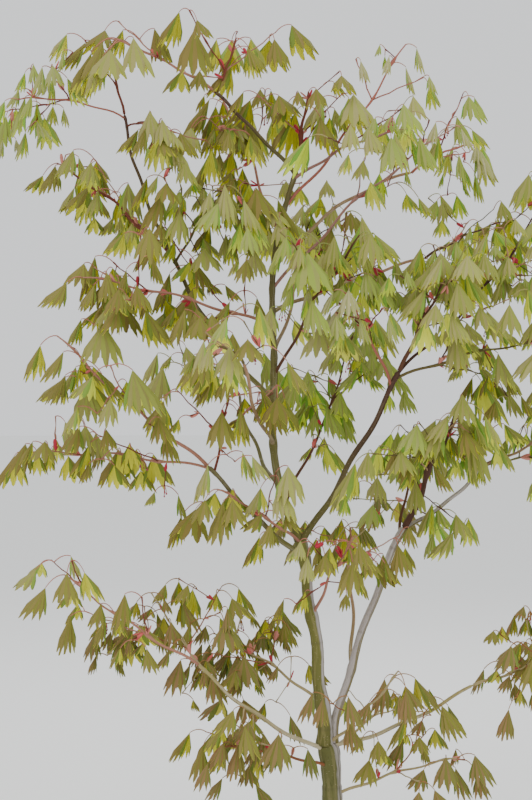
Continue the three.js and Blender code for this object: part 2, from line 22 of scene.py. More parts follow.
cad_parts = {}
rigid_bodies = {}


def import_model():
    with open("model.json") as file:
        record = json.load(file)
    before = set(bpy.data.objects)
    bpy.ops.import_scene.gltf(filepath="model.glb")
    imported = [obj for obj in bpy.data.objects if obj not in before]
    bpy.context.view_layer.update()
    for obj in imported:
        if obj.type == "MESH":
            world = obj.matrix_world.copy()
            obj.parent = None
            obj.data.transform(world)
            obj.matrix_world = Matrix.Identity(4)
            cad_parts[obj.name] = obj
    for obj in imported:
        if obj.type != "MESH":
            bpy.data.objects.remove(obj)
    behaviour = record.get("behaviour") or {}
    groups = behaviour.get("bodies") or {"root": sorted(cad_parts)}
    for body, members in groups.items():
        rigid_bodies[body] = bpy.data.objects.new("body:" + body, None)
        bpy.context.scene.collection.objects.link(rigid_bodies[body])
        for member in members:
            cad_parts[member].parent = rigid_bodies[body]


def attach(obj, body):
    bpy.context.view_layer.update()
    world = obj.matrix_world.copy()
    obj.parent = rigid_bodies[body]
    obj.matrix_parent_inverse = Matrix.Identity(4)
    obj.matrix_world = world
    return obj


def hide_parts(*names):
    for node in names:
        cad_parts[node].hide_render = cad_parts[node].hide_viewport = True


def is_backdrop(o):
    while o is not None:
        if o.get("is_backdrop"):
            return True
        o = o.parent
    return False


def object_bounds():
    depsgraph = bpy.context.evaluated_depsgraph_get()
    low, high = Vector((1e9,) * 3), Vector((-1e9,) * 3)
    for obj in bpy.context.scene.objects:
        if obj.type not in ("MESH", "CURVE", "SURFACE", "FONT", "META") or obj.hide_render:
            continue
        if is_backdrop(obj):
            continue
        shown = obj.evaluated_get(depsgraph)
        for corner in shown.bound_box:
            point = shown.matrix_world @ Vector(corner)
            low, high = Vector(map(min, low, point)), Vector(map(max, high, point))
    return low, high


Array = np.ndarray
Point = tuple[float, float, float]
Span = tuple[float, float]
Rgb = tuple[int, int, int]
Material = bpy.types.Material
Piece = bpy.types.Object
Socket = bpy.types.NodeSocket

log = logging.getLogger("maple")

UP = np.array([0.0, 0.0, 1.0])
STRAIGHT = np.zeros(3)
SIDE_LEAN = 0.05
MILLIMETRES = 1000

# The growth rule of the solids: where shoots branch and where leaves hang
SHOOT_WEAVE = 0.015
NODE_PITCH = 0.084
TWIG_LENGTH = 0.156
TWIG_SHRINK = 0.42
TWIG_MIN = 0.085
TWIG_PLAY = (0.75, 1.2)
LEAF_PITCH = 0.084
LAST_PAIR = 0.9
LAST_TURN = 0.8
TIP_PLACE = 0.985
FIRST_NODE = 0.4
STEM_TURN = 0.4
TWIG_TURN = 0.5
TURN_PLAY = 0.3
TWIG_OUT = 0.8
TWIG_ONWARD = 0.6
TWIG_RISE = 0.16
LEAF_LENGTH = 0.112
LEAF_ONWARD = 0.35
LEAF_SPREAD = (0.45, 1.05)
LEAF_TURN_PLAY = 0.4
LEAF_TRIES = 4
LEAF_SIZES = (0.8, 1.14)
UPRIGHT_LEAN = 0.15
YOUNG_LEAF = 0.68
SPACE_DROP = 0.038
SPACE_HEIGHT = 0.86

# Shoots: their radii, the sides and steps of their tubes, and the spurs that carry the rule on
STEM_START = 0.0032
STEM_SHARE = 0.7
STEM_END = 0.0013
TWIG_RADII = (0.0015, 0.0009)
SPUR_RADII = (0.0011, 0.0008)
SPUR_LENGTH = (0.02, 0.105)
LONG_SPUR = 0.06
SPUR_LEAF = (0.62, 1.0)
SPUR_ONWARD = 0.3
SPUR_RISE = (-0.9, 1.3)
SPUR_PITCH = 0.05
SPUR_PLAY = (0.2, 0.8)
STEM_SPURS_FROM = 0.6
TWIG_SPURS_FROM = 0.2
STEM_SIDES = 7
STEM_RING = 0.012
TWIG_SIDES = 6
TWIG_RING = 0.016
NODE_REACH = 2.0
NODE_SWELL = 0.35
FINE_SEED = 1000

# Leaves: their stalks and blades as shares of the leaf's length, and the room that they need
STALK_LEVEL = 0.3
STALK_LIFT = (-0.24, 0.2)
STALK_ARCH = 0.16
STALK_SIDES = 4
STALK_RINGS = 5
STALK_RADIUS = 0.00105
STALK_TAPER = 0.0003
BLADE_SHARE = (0.5, 0.81)
BLADE_LEAN = (0.08, 0.6)
BLADE_DROP = 0.9
BLADE_TURN = 0.5
BLADE_WIDTH = (0.9, 1.15)
BLADE_MIDDLE = (0.55, 0.45)
WOOD_ROOM = 0.16
BLADE_ROOM = 0.5
WOOD_STEP = 0.012
BOX_PLAY = 0.004

# Bud scales at the feet of the shoots, and closed flowers at the tips of a few
SCALE_MOST = 3.6
SCALE_PLACE = 0.02
SCALE_AXIS = 0.05
SCALE_SINK = 0.6
SCALE_SPREAD = 0.2
SCALE_LENGTH = (0.01, 0.024)
FLOWER_SHARE = 0.07
FLOWER_COUNT = (3, 7)
FLOWER_SPREAD = (0.1, 0.7)
FLOWER_DROP = (0.008, 0.018)
FLOWER_LENGTH = (0.0045, 0.0065)


class Bark(Enum):
    """The kinds of bark that the limbs wear."""

    MOSSY, OLIVE, GREY, LEADER, DUSKY, CREAM, TAWNY = range(7)


class Region(Enum):
    """The parts of the crown that are joined into pieces together."""

    TOP, LEFT, CENTRE, RIGHT, LOW, BACK = range(6)


class Cast(Enum):
    """The mixtures of leaf colour, by place in the crown."""

    KHAKI, ROSE, GREEN, FRESH, AMBER, YOUNG = range(6)


class Fullness(Enum):
    """How full a mass is: what share of its spurs grow out, and what share of its leaves open."""

    BARE = (0.1, 0.5)
    SPARSE = (0.14, 0.72)
    OPEN = (0.28, 0.88)
    FULL = (0.46, 1.0)
    DENSE = (0.8, 1.0)

    def __init__(self, growing: float, opening: float) -> None:
        """Names the two shares."""
        self.growing = growing
        self.opening = opening


MOSSY, OLIVE, GREY, LEADER, DUSKY, CREAM, TAWNY = Bark
TOP, LEFT, CENTRE, RIGHT, LOW, BACK = Region
KHAKI, ROSE, GREEN, FRESH, AMBER, YOUNG = Cast
BARE, SPARSE, OPEN, FULL, DENSE = Fullness


@dataclass(frozen=True)
class LimbRow:
    """One limb of bark.

    Attributes:
        name: its name, which is its solid's too.
        on: the limb that it grows from.
        at: its place along that limb.
        tip: where it ends.
        bow: how far its middle stands off the straight line.
        radii: its radius at foot and tip.
        bark: the bark that it wears.
        shift: how far its foot stands off its parent's middle line.
        girth: its thickness as a share of plain.
        collar: how much it widens at its foot, as a share of its radius.
        slot: the record's slot of material; not used.
    """

    name: str
    on: str
    at: float
    tip: Point
    bow: Point
    radii: Span
    bark: Bark
    shift: Point = (0.0, 0.0, 0.0)
    girth: float = 1.0
    collar: float = 0.22
    slot: str = "bark"


@dataclass(frozen=True)
class MassRow:
    """One mass of foliage.

    Attributes:
        name: its name, which its solid has after foliage_.
        on: the limb that its stem grows from.
        at: the stem's place along that limb.
        tip: where the stem ends.
        bare: the share of the stem that bears nothing.
        bow: how far up the stem's middle stands off the straight line.
        reach: how far the mass reaches round its middle.
        region: the part of the crown that it belongs to.
        cast: its mixture of leaf colour.
        fullness: how much of it grows out.
        size: the size of its leaves, as a share of plain.
        young: whether its leaves are still unfolding.
    """

    name: str
    on: str
    at: float
    tip: Point
    bare: float
    bow: float
    reach: float
    region: Region
    cast: Cast = KHAKI
    fullness: Fullness = FULL
    size: float = 1.0
    young: bool = False


LIMBS = (
    LimbRow("left_stem", "trunk", 0.99, (-0.075, 0, 0.746), (0.005, -0.006, 0), (0.0106, 0.0082), OLIVE,
            shift=(-0.005, 0, 0), girth=1.18, collar=0.48),
    LimbRow("right_stem", "trunk", 0.99, (0.12, 0.03, 0.765), (-0.013, 0.008, 0), (0.008, 0.0064), GREY,
            shift=(0.008, 0.002, 0), collar=0.6, slot="grey_bark"),
    LimbRow("leader", "left_stem", 0.995, (-0.08, 0.02, 1.425), (-0.052, 0.006, -0.02), (0.0081, 0.0044),
            LEADER, shift=(-0.002, 0.001, 0)),
    LimbRow("right_bough", "left_stem", 0.99, (0.1, -0.08, 1.052), (0.004, -0.008, -0.006), (0.006, 0.0042),
            DUSKY, shift=(0.003, -0.002, 0)),
    LimbRow("left_mid_bough", "left_stem", 0.9, (-0.242, -0.06, 0.882), (0.002, -0.006, -0.01),
            (0.0054, 0.0036), LEADER),
    LimbRow("left_top_bough", "leader", 0.4, (-0.312, 0.05, 1.268), (-0.014, 0.01, -0.008), (0.005, 0.0036),
            LEADER),
    LimbRow("left_top_end", "left_top_bough", 0.99, (-0.402, 0.06, 1.535), (-0.016, 0.004, 0.008),
            (0.0035, 0.0026), DUSKY),
    LimbRow("upper_left_bough", "leader", 0.99, (-0.23, -0.04, 1.556), (-0.006, -0.008, 0.008),
            (0.0039, 0.0028), DUSKY, shift=(-0.001, 0, 0)),
    LimbRow("pale_right_bough", "leader", 0.745, (0.14, 0.105, 1.432), (-0.014, 0.01, 0.026),
            (0.0039, 0.0027), TAWNY),
    LimbRow("long_right_bough", "leader", 0.64, (0.172, 0.165, 1.275), (-0.006, 0.012, 0.006),
            (0.0039, 0.0027), TAWNY),
    LimbRow("far_right_bough", "right_stem", 0.99, (0.275, 0.06, 0.88), (0.006, 0.006, -0.008),
            (0.0044, 0.003), GREY, shift=(0.002, 0, 0)),
    LimbRow("low_right_bough", "trunk", 0.97, (0.236, -0.05, 0.488), (0, -0.008, -0.012), (0.0042, 0.0028),
            CREAM),
    LimbRow("low_left_bough", "trunk", 0.95, (-0.258, -0.08, 0.53), (-0.012, -0.01, -0.01), (0.0042, 0.0028),
            CREAM),
    LimbRow("back_low_bough", "right_stem", 0.34, (0.03, 0.265, 0.69), (0.004, 0.02, -0.014), (0.004, 0.0028),
            TAWNY),
    LimbRow("back_mid_bough", "leader", 0.16, (-0.19, 0.27, 1.01), (-0.008, 0.02, -0.014), (0.0042, 0.0028),
            LEADER),
    LimbRow("back_high_bough", "leader", 0.52, (-0.07, 0.29, 1.29), (0.004, 0.024, -0.01), (0.0038, 0.0027),
            TAWNY),
    LimbRow("front_mid_bough", "leader", 0.28, (-0.175, -0.225, 1.062), (-0.006, -0.02, -0.008),
            (0.0038, 0.0027), TAWNY),
)

# Each row holds the fields of MassRow in turn. The rows stand in the order of the solids, because a mass's
# place in this list is its seed.
MASSES = tuple(MassRow(*row) for row in (
    ("top_left_end", "upper_left_bough", 1, (-0.415, -0.09, 1.64), 0.42, 0.01, 0.19, TOP, ROSE, SPARSE, 1.18),
    ("top", "upper_left_bough", 0.97, (-0.19, -0.06, 1.65), 0.3, -0.006, 0.175, TOP, ROSE, OPEN, 1.05),
    ("left_top", "left_top_end", 1, (-0.438, 0.06, 1.655), 0.2, 0.006, 0.16, TOP, ROSE, BARE),
    ("left_far", "left_top_end", 0.96, (-0.59, -0.02, 1.545), 0.4, 0.016, 0.16, LEFT, YOUNG, DENSE, 1.3,
     True),
    ("left_side", "left_top_bough", 1, (-0.545, 0.16, 1.46), 0.16, 0.012, 0.19, LEFT, ROSE, OPEN),
    ("left_upper", "left_top_end", 0.9, (-0.325, -0.05, 1.49), 0.2, 0.008, 0.16, LEFT, ROSE, SPARSE, 0.9),
    ("left_inner", "left_top_bough", 0.96, (-0.205, -0.06, 1.385), 0.25, 0.008, 0.175, CENTRE, KHAKI, DENSE),
    ("grey_shoot", "leader", 0.84, (-0.222, 0.13, 1.58), 0.45, 0.01, 0.18, TOP, ROSE, DENSE, 1.08),
    ("centre_top", "leader", 1, (-0.06, -0.03, 1.56), 0.25, 0.006, 0.16, TOP, ROSE, OPEN),
    ("pink_shoot", "leader", 0.975, (0.1, -0.14, 1.47), 0.4, 0.014, 0.19, CENTRE, FRESH, BARE, 0.92),
    ("tall_shoot", "leader", 0.9, (0.128, 0.05, 1.668), 0.62, -0.014, 0.15, TOP, YOUNG, BARE, 0.95, True),
    ("pale_right", "pale_right_bough", 1, (0.262, 0.135, 1.492), 0.2, 0.01, 0.19, RIGHT, YOUNG, OPEN, 0.84),
    ("dark_right", "leader", 0.7, (0.172, -0.09, 1.47), 0.45, 0.018, 0.2, CENTRE, FRESH, BARE, 0.74),
    ("long_right", "long_right_bough", 1, (0.33, 0.205, 1.35), 0.2, 0.008, 0.19, RIGHT, KHAKI, SPARSE, 0.92),
    ("steep_right", "right_bough", 0.98, (0.395, 0.01, 1.388), 0.5, -0.026, 0.205, RIGHT),
    ("right_node", "right_bough", 1, (0.178, -0.145, 1.215), 0.45, 0.006, 0.19, CENTRE, GREEN, DENSE),
    ("red_shoot", "right_bough", 0.95, (0.37, -0.11, 1.105), 0.16, 0.012, 0.22, RIGHT),
    ("up_left_shoot", "right_bough", 0.91, (-0.005, -0.19, 1.185), 0.4, 0.012, 0.175, CENTRE, YOUNG, OPEN,
     1.1, True),
    ("behind", "leader", 0.1, (0.045, 0.15, 1.15), 0.5, -0.012, 0.2, CENTRE, GREEN, DENSE),
    ("far_right", "far_right_bough", 1, (0.455, 0.02, 0.985), 0.35, -0.01, 0.205, RIGHT),
    ("far_low", "far_right_bough", 0.95, (0.43, 0.11, 0.89), 0.3, 0.01, 0.19, RIGHT, GREEN, BARE),
    ("right_mid", "right_stem", 1, (0.2, -0.14, 1.0), 0.35, -0.008, 0.2, RIGHT, KHAKI, DENSE),
    ("upright", "right_stem", 0.96, (0.15, 0.15, 0.955), 0.4, -0.008, 0.18, RIGHT, GREEN, OPEN),
    ("left_mid_up", "left_mid_bough", 0.94, (-0.2, -0.11, 1.04), 0.3, -0.006, 0.175, CENTRE, ROSE, SPARSE),
    ("left_mid_far", "left_mid_bough", 1, (-0.505, -0.14, 1.115), 0.42, -0.008, 0.205, LEFT, ROSE, SPARSE),
    ("left_level", "left_mid_bough", 0.97, (-0.59, 0.01, 0.9), 0.18, 0.012, 0.24, LEFT, ROSE, SPARSE),
    ("left_mid_low", "left_stem", 0.97, (-0.225, -0.13, 0.845), 0.28, 0.008, 0.18, CENTRE, ROSE, OPEN),
    ("left_outer", "leader", 0.6, (-0.465, -0.11, 1.215), 0.14, 0.012, 0.23, LEFT, ROSE, OPEN),
    ("front", "front_mid_bough", 1, (-0.215, -0.33, 1.085), 0.15, 0.008, 0.19, CENTRE, KHAKI, BARE, 0.92),
    ("front_right", "leader", 0.47, (0.025, -0.18, 1.285), 0.42, 0.012, 0.18, CENTRE, GREEN, DENSE),
    ("low_right", "low_right_bough", 1, (0.405, -0.06, 0.57), 0.25, -0.01, 0.2, LOW, AMBER, DENSE, 0.9),
    ("low_right_front", "trunk", 0.985, (0.09, -0.19, 0.54), 0.3, -0.008, 0.19, LOW, AMBER, SPARSE, 0.85),
    ("low_left_end", "low_left_bough", 1, (-0.49, -0.15, 0.7), 0.28, -0.008, 0.21, LOW, ROSE, SPARSE, 0.85),
    ("low_left", "low_left_bough", 0.95, (-0.335, 0.02, 0.628), 0.2, -0.006, 0.18, LOW, AMBER, DENSE, 0.85),
    ("low_olive", "left_stem", 0.2, (-0.225, 0.11, 0.55), 0.36, 0.008, 0.18, LOW, AMBER, DENSE, 0.85),
    ("low_back", "trunk", 0.93, (0.13, 0.19, 0.425), 0.42, 0.008, 0.19, BACK, AMBER, SPARSE, 0.85),
    ("foot_left", "trunk", 0.88, (-0.215, -0.15, 0.4), 0.35, 0.008, 0.19, LOW, AMBER, OPEN, 0.85),
    ("foot_right", "trunk", 0.75, (0.205, -0.09, 0.365), 0.4, 0.01, 0.19, LOW, AMBER, OPEN, 0.85),
    ("stem_front", "left_stem", 0.62, (0.015, -0.15, 0.765), 0.45, 0.006, 0.16, CENTRE, ROSE, OPEN, 0.85),
    ("back_low", "back_low_bough", 1, (0.04, 0.37, 0.735), 0.1, 0.008, 0.21, BACK, AMBER, OPEN, 0.85),
    ("back_mid", "back_mid_bough", 1, (-0.255, 0.36, 1.075), 0.1, 0.008, 0.22, BACK, KHAKI, OPEN),
    ("back_high", "back_high_bough", 1, (-0.045, 0.375, 1.37), 0.1, 0.008, 0.21, BACK, KHAKI, DENSE),
))


def unit(line: Array) -> Array:
    """The line at length one."""
    return line / np.linalg.norm(line)


def level_side(line: Array, least: float) -> Array:
    """The level direction square to a line, or +X for a line that leans by least or less."""
    leans = math.hypot(line[0], line[1]) > least
    return unit(np.array([-line[1], line[0], 0.0])) if leans else np.array([1.0, 0.0, 0.0])


def square_to(line: Array) -> tuple[Array, Array]:
    """Two directions square to a line, the first level."""
    aside = level_side(line, SIDE_LEAN)
    return aside, unit(np.cross(aside, line))


def towards(bearing: float) -> Array:
    """The level direction of a bearing."""
    return np.array([math.cos(bearing), math.sin(bearing), 0.0])


def linear(colour: Rgb) -> tuple[float, float, float, float]:
    """A screen colour from 0 to 255 as the linear colour that a shader takes, by the sRGB curve."""
    shares = [value / 255 for value in colour]
    red, green, blue = (s / 12.92 if s <= 0.04045 else ((s + 0.055) / 1.055) ** 2.4 for s in shares)
    return (red, green, blue, 1.0)


def placed(name: str, data: bpy.types.ID) -> Piece:
    """A new object of the scene, at the origin."""
    made = bpy.data.objects.new(name, data)
    bpy.context.scene.collection.objects.link(made)
    return made


class Dice:
    """The seeded die of the solids: the same seed gives the same rolls in the same order."""

    FACTOR = 16807
    MODULUS = 2147483647
    SEED_STEP = 104729

    def __init__(self, seed: int) -> None:
        """Starts from a whole number above 0."""
        self.state = seed * self.SEED_STEP % self.MODULUS

    def roll(self, low: float, high: float) -> float:
        """The next number between low and high."""
        self.state = self.state * self.FACTOR % self.MODULUS
        return low + (high - low) * self.state / self.MODULUS

    def angle(self) -> float:
        """The next angle of a full turn."""
        return self.roll(-math.pi, math.pi)

    def pick(self, choices: Sequence) -> object:
        """One of the choices."""
        return choices[min(int(self.roll(0, len(choices))), len(choices) - 1)]


class LimbCurve:
    """The middle line of a limb, shoot or stalk: an arc from foot to tip that weaves a little."""

    TANGENT_STEP = 1e-4
    LEAST_LEAN = 0.001
    SIDE_WAVES = 3
    CROSS_WAVES = 5
    CROSS_SWAY = 0.6

    def __init__(self, foot: Array, tip: Array, bow: Array, weave: float) -> None:
        """Lays out the line.

        Args:
            foot: where it starts.
            tip: where it ends.
            bow: how far its middle stands off the straight line.
            weave: how far it sways from side to side, as a share of its length.
        """
        self.foot = np.asarray(foot, float)
        self.tip = np.asarray(tip, float)
        self.crown = (self.foot + self.tip) / 2 + 2 * np.asarray(bow, float)
        line = self.tip - self.foot
        self.aside = level_side(line, self.LEAST_LEAN)
        self.across = unit(np.cross(line, self.aside))
        self.length = float(np.linalg.norm(line))
        self.sway = weave * self.length

    def points(self, places: Array) -> Array:
        """Finds points of the line.

        Args:
            places: from 0 at the foot to 1 at the tip.

        Returns:
            One row for each place.
        """
        t = np.atleast_1d(np.asarray(places, float))[:, None]
        arc = self.foot * (1 - t) ** 2 + self.crown * (2 * t * (1 - t)) + self.tip * t**2
        side = self.aside * np.sin(self.SIDE_WAVES * np.pi * t)
        cross = self.across * (self.CROSS_SWAY * np.sin(self.CROSS_WAVES * np.pi * t))
        return arc + self.sway * (side + cross)

    def tangents(self, places: Array) -> Array:
        """Finds directions of the line.

        Args:
            places: from 0 at the foot to 1 at the tip.

        Returns:
            One row of length one for each place.
        """
        t = np.atleast_1d(np.asarray(places, float))
        after = np.clip(t + self.TANGENT_STEP, 0, 1)
        before = np.clip(t - self.TANGENT_STEP, 0, 1)
        step = self.points(after) - self.points(before)
        return step / np.linalg.norm(step, axis=1, keepdims=True)

    def frames(self, places: Array) -> tuple[Array, Array, Array]:
        """Finds points of the line with two directions square to it at each.

        Args:
            places: from 0 at the foot to 1 at the tip.

        Returns:
            The points, and the first and second direction, one row for each place.
        """
        tangents = self.tangents(places)
        first = self.aside - tangents * (tangents @ self.aside)[:, None]
        first /= np.linalg.norm(first, axis=1, keepdims=True)
        return self.points(places), first, np.cross(tangents, first)


@dataclass
class Shape:
    """A small shape as arrays, ready to be copied many times.

    Attributes:
        points: one row for each corner.
        corners: the corner numbers of all faces in a row.
        sizes: how many corners each face has.
        roles: which finish each face takes, as a place in the list that a copy gives.
        spokes: the spoke that each corner lies on. An edge along one spoke is a crease.
    """

    points: Array
    corners: Array
    sizes: Array
    roles: Array
    spokes: Array

    @classmethod
    def of(cls, bm: bmesh.types.BMesh, spoke_layer: str | None = None) -> "Shape":
        """Reads a bmesh and frees it.

        Args:
            bm: the shape, with roles as material numbers.
            spoke_layer: the whole-number layer that holds the corners' spokes.

        Returns:
            The shape as arrays, with its faces in the order of their corners, the same in each run.
        """
        bm.verts.index_update()
        layer = bm.verts.layers.int.get(spoke_layer) if spoke_layer else None
        faces = [([v.index for v in face.verts], face.material_index) for face in bm.faces]
        faces.sort(key=lambda face: sorted(face[0]))
        shape = cls(
            np.array([tuple(v.co) for v in bm.verts]),
            np.array([corner for corners, _ in faces for corner in corners]),
            np.array([len(corners) for corners, _ in faces]),
            np.array([role for _, role in faces]),
            np.array([v[layer] if layer else v.index for v in bm.verts]),
        )
        bm.free()
        return shape


class Batch:
    """Many copies of small shapes, joined into one mesh."""

    def __init__(self, name: str) -> None:
        """Starts empty, under the name of the piece."""
        self.name = name
        self.copies: list[tuple[Array, ...]] = []
        self.finishes: list[Material] = []
        self.total = 0

    def add(self, shape: Shape, points: Array, finishes: Sequence[Material]) -> None:
        """Adds one copy.

        Args:
            shape: the shape that is copied.
            points: where its corners lie.
            finishes: the finish for each of its roles.
        """
        for finish in finishes:
            if finish not in self.finishes:
                self.finishes.append(finish)
        slots = np.array([self.finishes.index(finish) for finish in finishes])
        corners = shape.corners + self.total
        self.copies.append((points, corners, shape.sizes, slots[shape.roles], shape.spokes))
        self.total += len(points)

    def build(self, creased: bool = False) -> Piece:
        """Makes the joined mesh.

        Args:
            creased: whether edges along a spoke are shaded sharp.

        Returns:
            The object, at the origin.
        """
        points, corners, sizes, slots, spokes = map(np.concatenate, zip(*self.copies))
        mesh = bpy.data.meshes.new(self.name)
        mesh.vertices.add(self.total)
        mesh.vertices.foreach_set("co", points.astype(np.float32).ravel())
        mesh.loops.add(len(corners))
        mesh.loops.foreach_set("vertex_index", corners.astype(np.int32))
        mesh.polygons.add(len(sizes))
        mesh.polygons.foreach_set("loop_start", (np.cumsum(sizes) - sizes).astype(np.int32))
        mesh.polygons.foreach_set("material_index", slots.astype(np.int32))
        for finish in self.finishes:
            mesh.materials.append(finish)
        mesh.update(calc_edges=True)
        mesh.shade_smooth()
        if creased:
            ends = np.empty(len(mesh.edges) * 2, np.int32)
            mesh.edges.foreach_get("vertices", ends)
            pairs = spokes[ends.reshape(-1, 2)]
            sharp = (pairs[:, 0] == pairs[:, 1]) | (pairs.min(axis=1) < 0)
            mesh.attributes.new("sharp_edge", "BOOLEAN", "EDGE").data.foreach_set("value", sharp)
        mesh.validate()
        return placed(self.name, mesh)


@cache
def straight_tube(sides: int, rings: int) -> Shape:
    """Makes a closed tube of radius one along Z from 0 to 1, to be bent along a line.

    Args:
        sides: how many sides it has.
        rings: how many steps it has along it.

    Returns:
        The tube.
    """
    bm = bmesh.new()
    lift = Matrix.Translation((0, 0, 0.5))
    bmesh.ops.create_cone(bm, cap_ends=True, segments=sides, radius1=1, radius2=1, depth=1, matrix=lift)
    posts = [e for e in bm.edges if e.verts[0].co.z != e.verts[1].co.z]
    if rings > 1:
        bmesh.ops.subdivide_edges(bm, edges=posts, cuts=rings - 1)
    return Shape.of(bm)


def bent_tube(curve: LimbCurve, sides: int, rings: int, radius_at: Callable[[Array], Array],
              until: float = 1.0) -> tuple[Shape, Array]:
    """Lays a tube along a line.

    Args:
        curve: the line.
        sides: how many sides the tube has.
        rings: how many steps it has.
        radius_at: its radius at each of an array of places.
        until: the place on the line where the tube ends.

    Returns:
        The straight shape, and where its corners lie.
    """
    shape = straight_tube(sides, rings)
    places = shape.points[:, 2] * until
    centre, first, second = curve.frames(places)
    radius = radius_at(places)[:, None]
    out = first * shape.points[:, :1] + second * shape.points[:, 1:2]
    return shape, centre + out * radius


class Graph:
    """A material's node tree, with short ways to add nodes and join them."""

    def __init__(self, name: str) -> None:
        """Starts a material of that name."""
        self.material = bpy.data.materials.new(name)
        self.material.use_nodes = True
        self.tree = self.material.node_tree
        self.shader = self.tree.nodes["Principled BSDF"]

    def fill(self, node: bpy.types.Node, **inputs: object) -> bpy.types.Node:
        """Joins sockets to a node's inputs, or sets their values.

        Args:
            node: the node.
            inputs: a value or a socket for each named input, with _ for a space.

        Returns:
            The node.
        """
        for name, value in inputs.items():
            self.feed(node.inputs[name.replace("_", " ")], value)
        return node

    def feed(self, socket: Socket, value: object) -> None:
        """Joins another socket to this one, or sets its value.

        Args:
            socket: the input.
            value: the other socket, or a value.
        """
        if isinstance(value, Socket):
            self.tree.links.new(value, socket)
        else:
            socket.default_value = value

    def node(self, kind: str, **inputs: object) -> bpy.types.Node:
        """A new node of a kind, by Blender's name without ShaderNode, with its inputs filled."""
        return self.fill(self.tree.nodes.new("ShaderNode" + kind), **inputs)

    def attribute(self, name: str, output: str = "Fac") -> Socket:
        """An attribute of the mesh, as a number or as another output of its node."""
        made = self.node("Attribute")
        made.attribute_name = name
        return made.outputs[output]

    def noise(self, place: Socket, scale: float, detail: float, stretch: Point) -> Socket:
        """Clouds at a scale, drawn out along the limb where stretch is under one."""
        moved = self.node("Mapping", Vector=place, Scale=stretch)
        return self.node("TexNoise", Vector=moved.outputs[0], Scale=scale, Detail=detail).outputs["Fac"]

    def band(self, value: Socket, low: float, high: float, top: float = 1.0) -> Socket:
        """Nothing below low, top above high, and a smooth rise between."""
        made = self.node("MapRange", Value=value, From_Min=low, From_Max=high, To_Max=top)
        made.interpolation_type = "SMOOTHSTEP"
        return made.outputs[0]

    def mix(self, share: object, first: object, second: object, blend: str = "MIX") -> Socket:
        """Mixes two colours.

        Args:
            share: how much of the second shows.
            first: the first colour.
            second: the second colour.
            blend: Blender's name for the way they mix.

        Returns:
            The mixed colour.
        """
        made = self.node("Mix")
        made.data_type = "RGBA"
        made.blend_type = blend
        for place, value in ((0, share), (6, first), (7, second)):
            self.feed(made.inputs[place], value)
        return made.outputs[2]

    def math(self, operation: str, *values: object) -> Socket:
        """Works out a sum.

        Args:
            operation: Blender's name for it.
            values: the numbers or sockets that it takes.

        Returns:
            Its result.
        """
        made = self.node("Math")
        made.operation = operation
        for place, value in enumerate(values):
            self.feed(made.inputs[place], value)
        return made.outputs[0]


@dataclass(frozen=True)
class PlainFinish:
    """A plain finish for leaves, shoots and buds, whose colours are dealt out by spray."""

    name: str
    colour: Rgb
    roughness: float = 0.68
    specular: float = 0.14
    sheen: float = 0.0

    @cache
    def make(self) -> Material:
        """Makes the material once.

        Returns:
            The material.
        """
        graph = Graph(self.name)
        graph.fill(graph.shader, Base_Color=linear(self.colour), Roughness=self.roughness,
                   Specular_IOR_Level=self.specular, Sheen_Weight=self.sheen)
        graph.material.diffuse_color = linear(self.colour)
        return graph.material


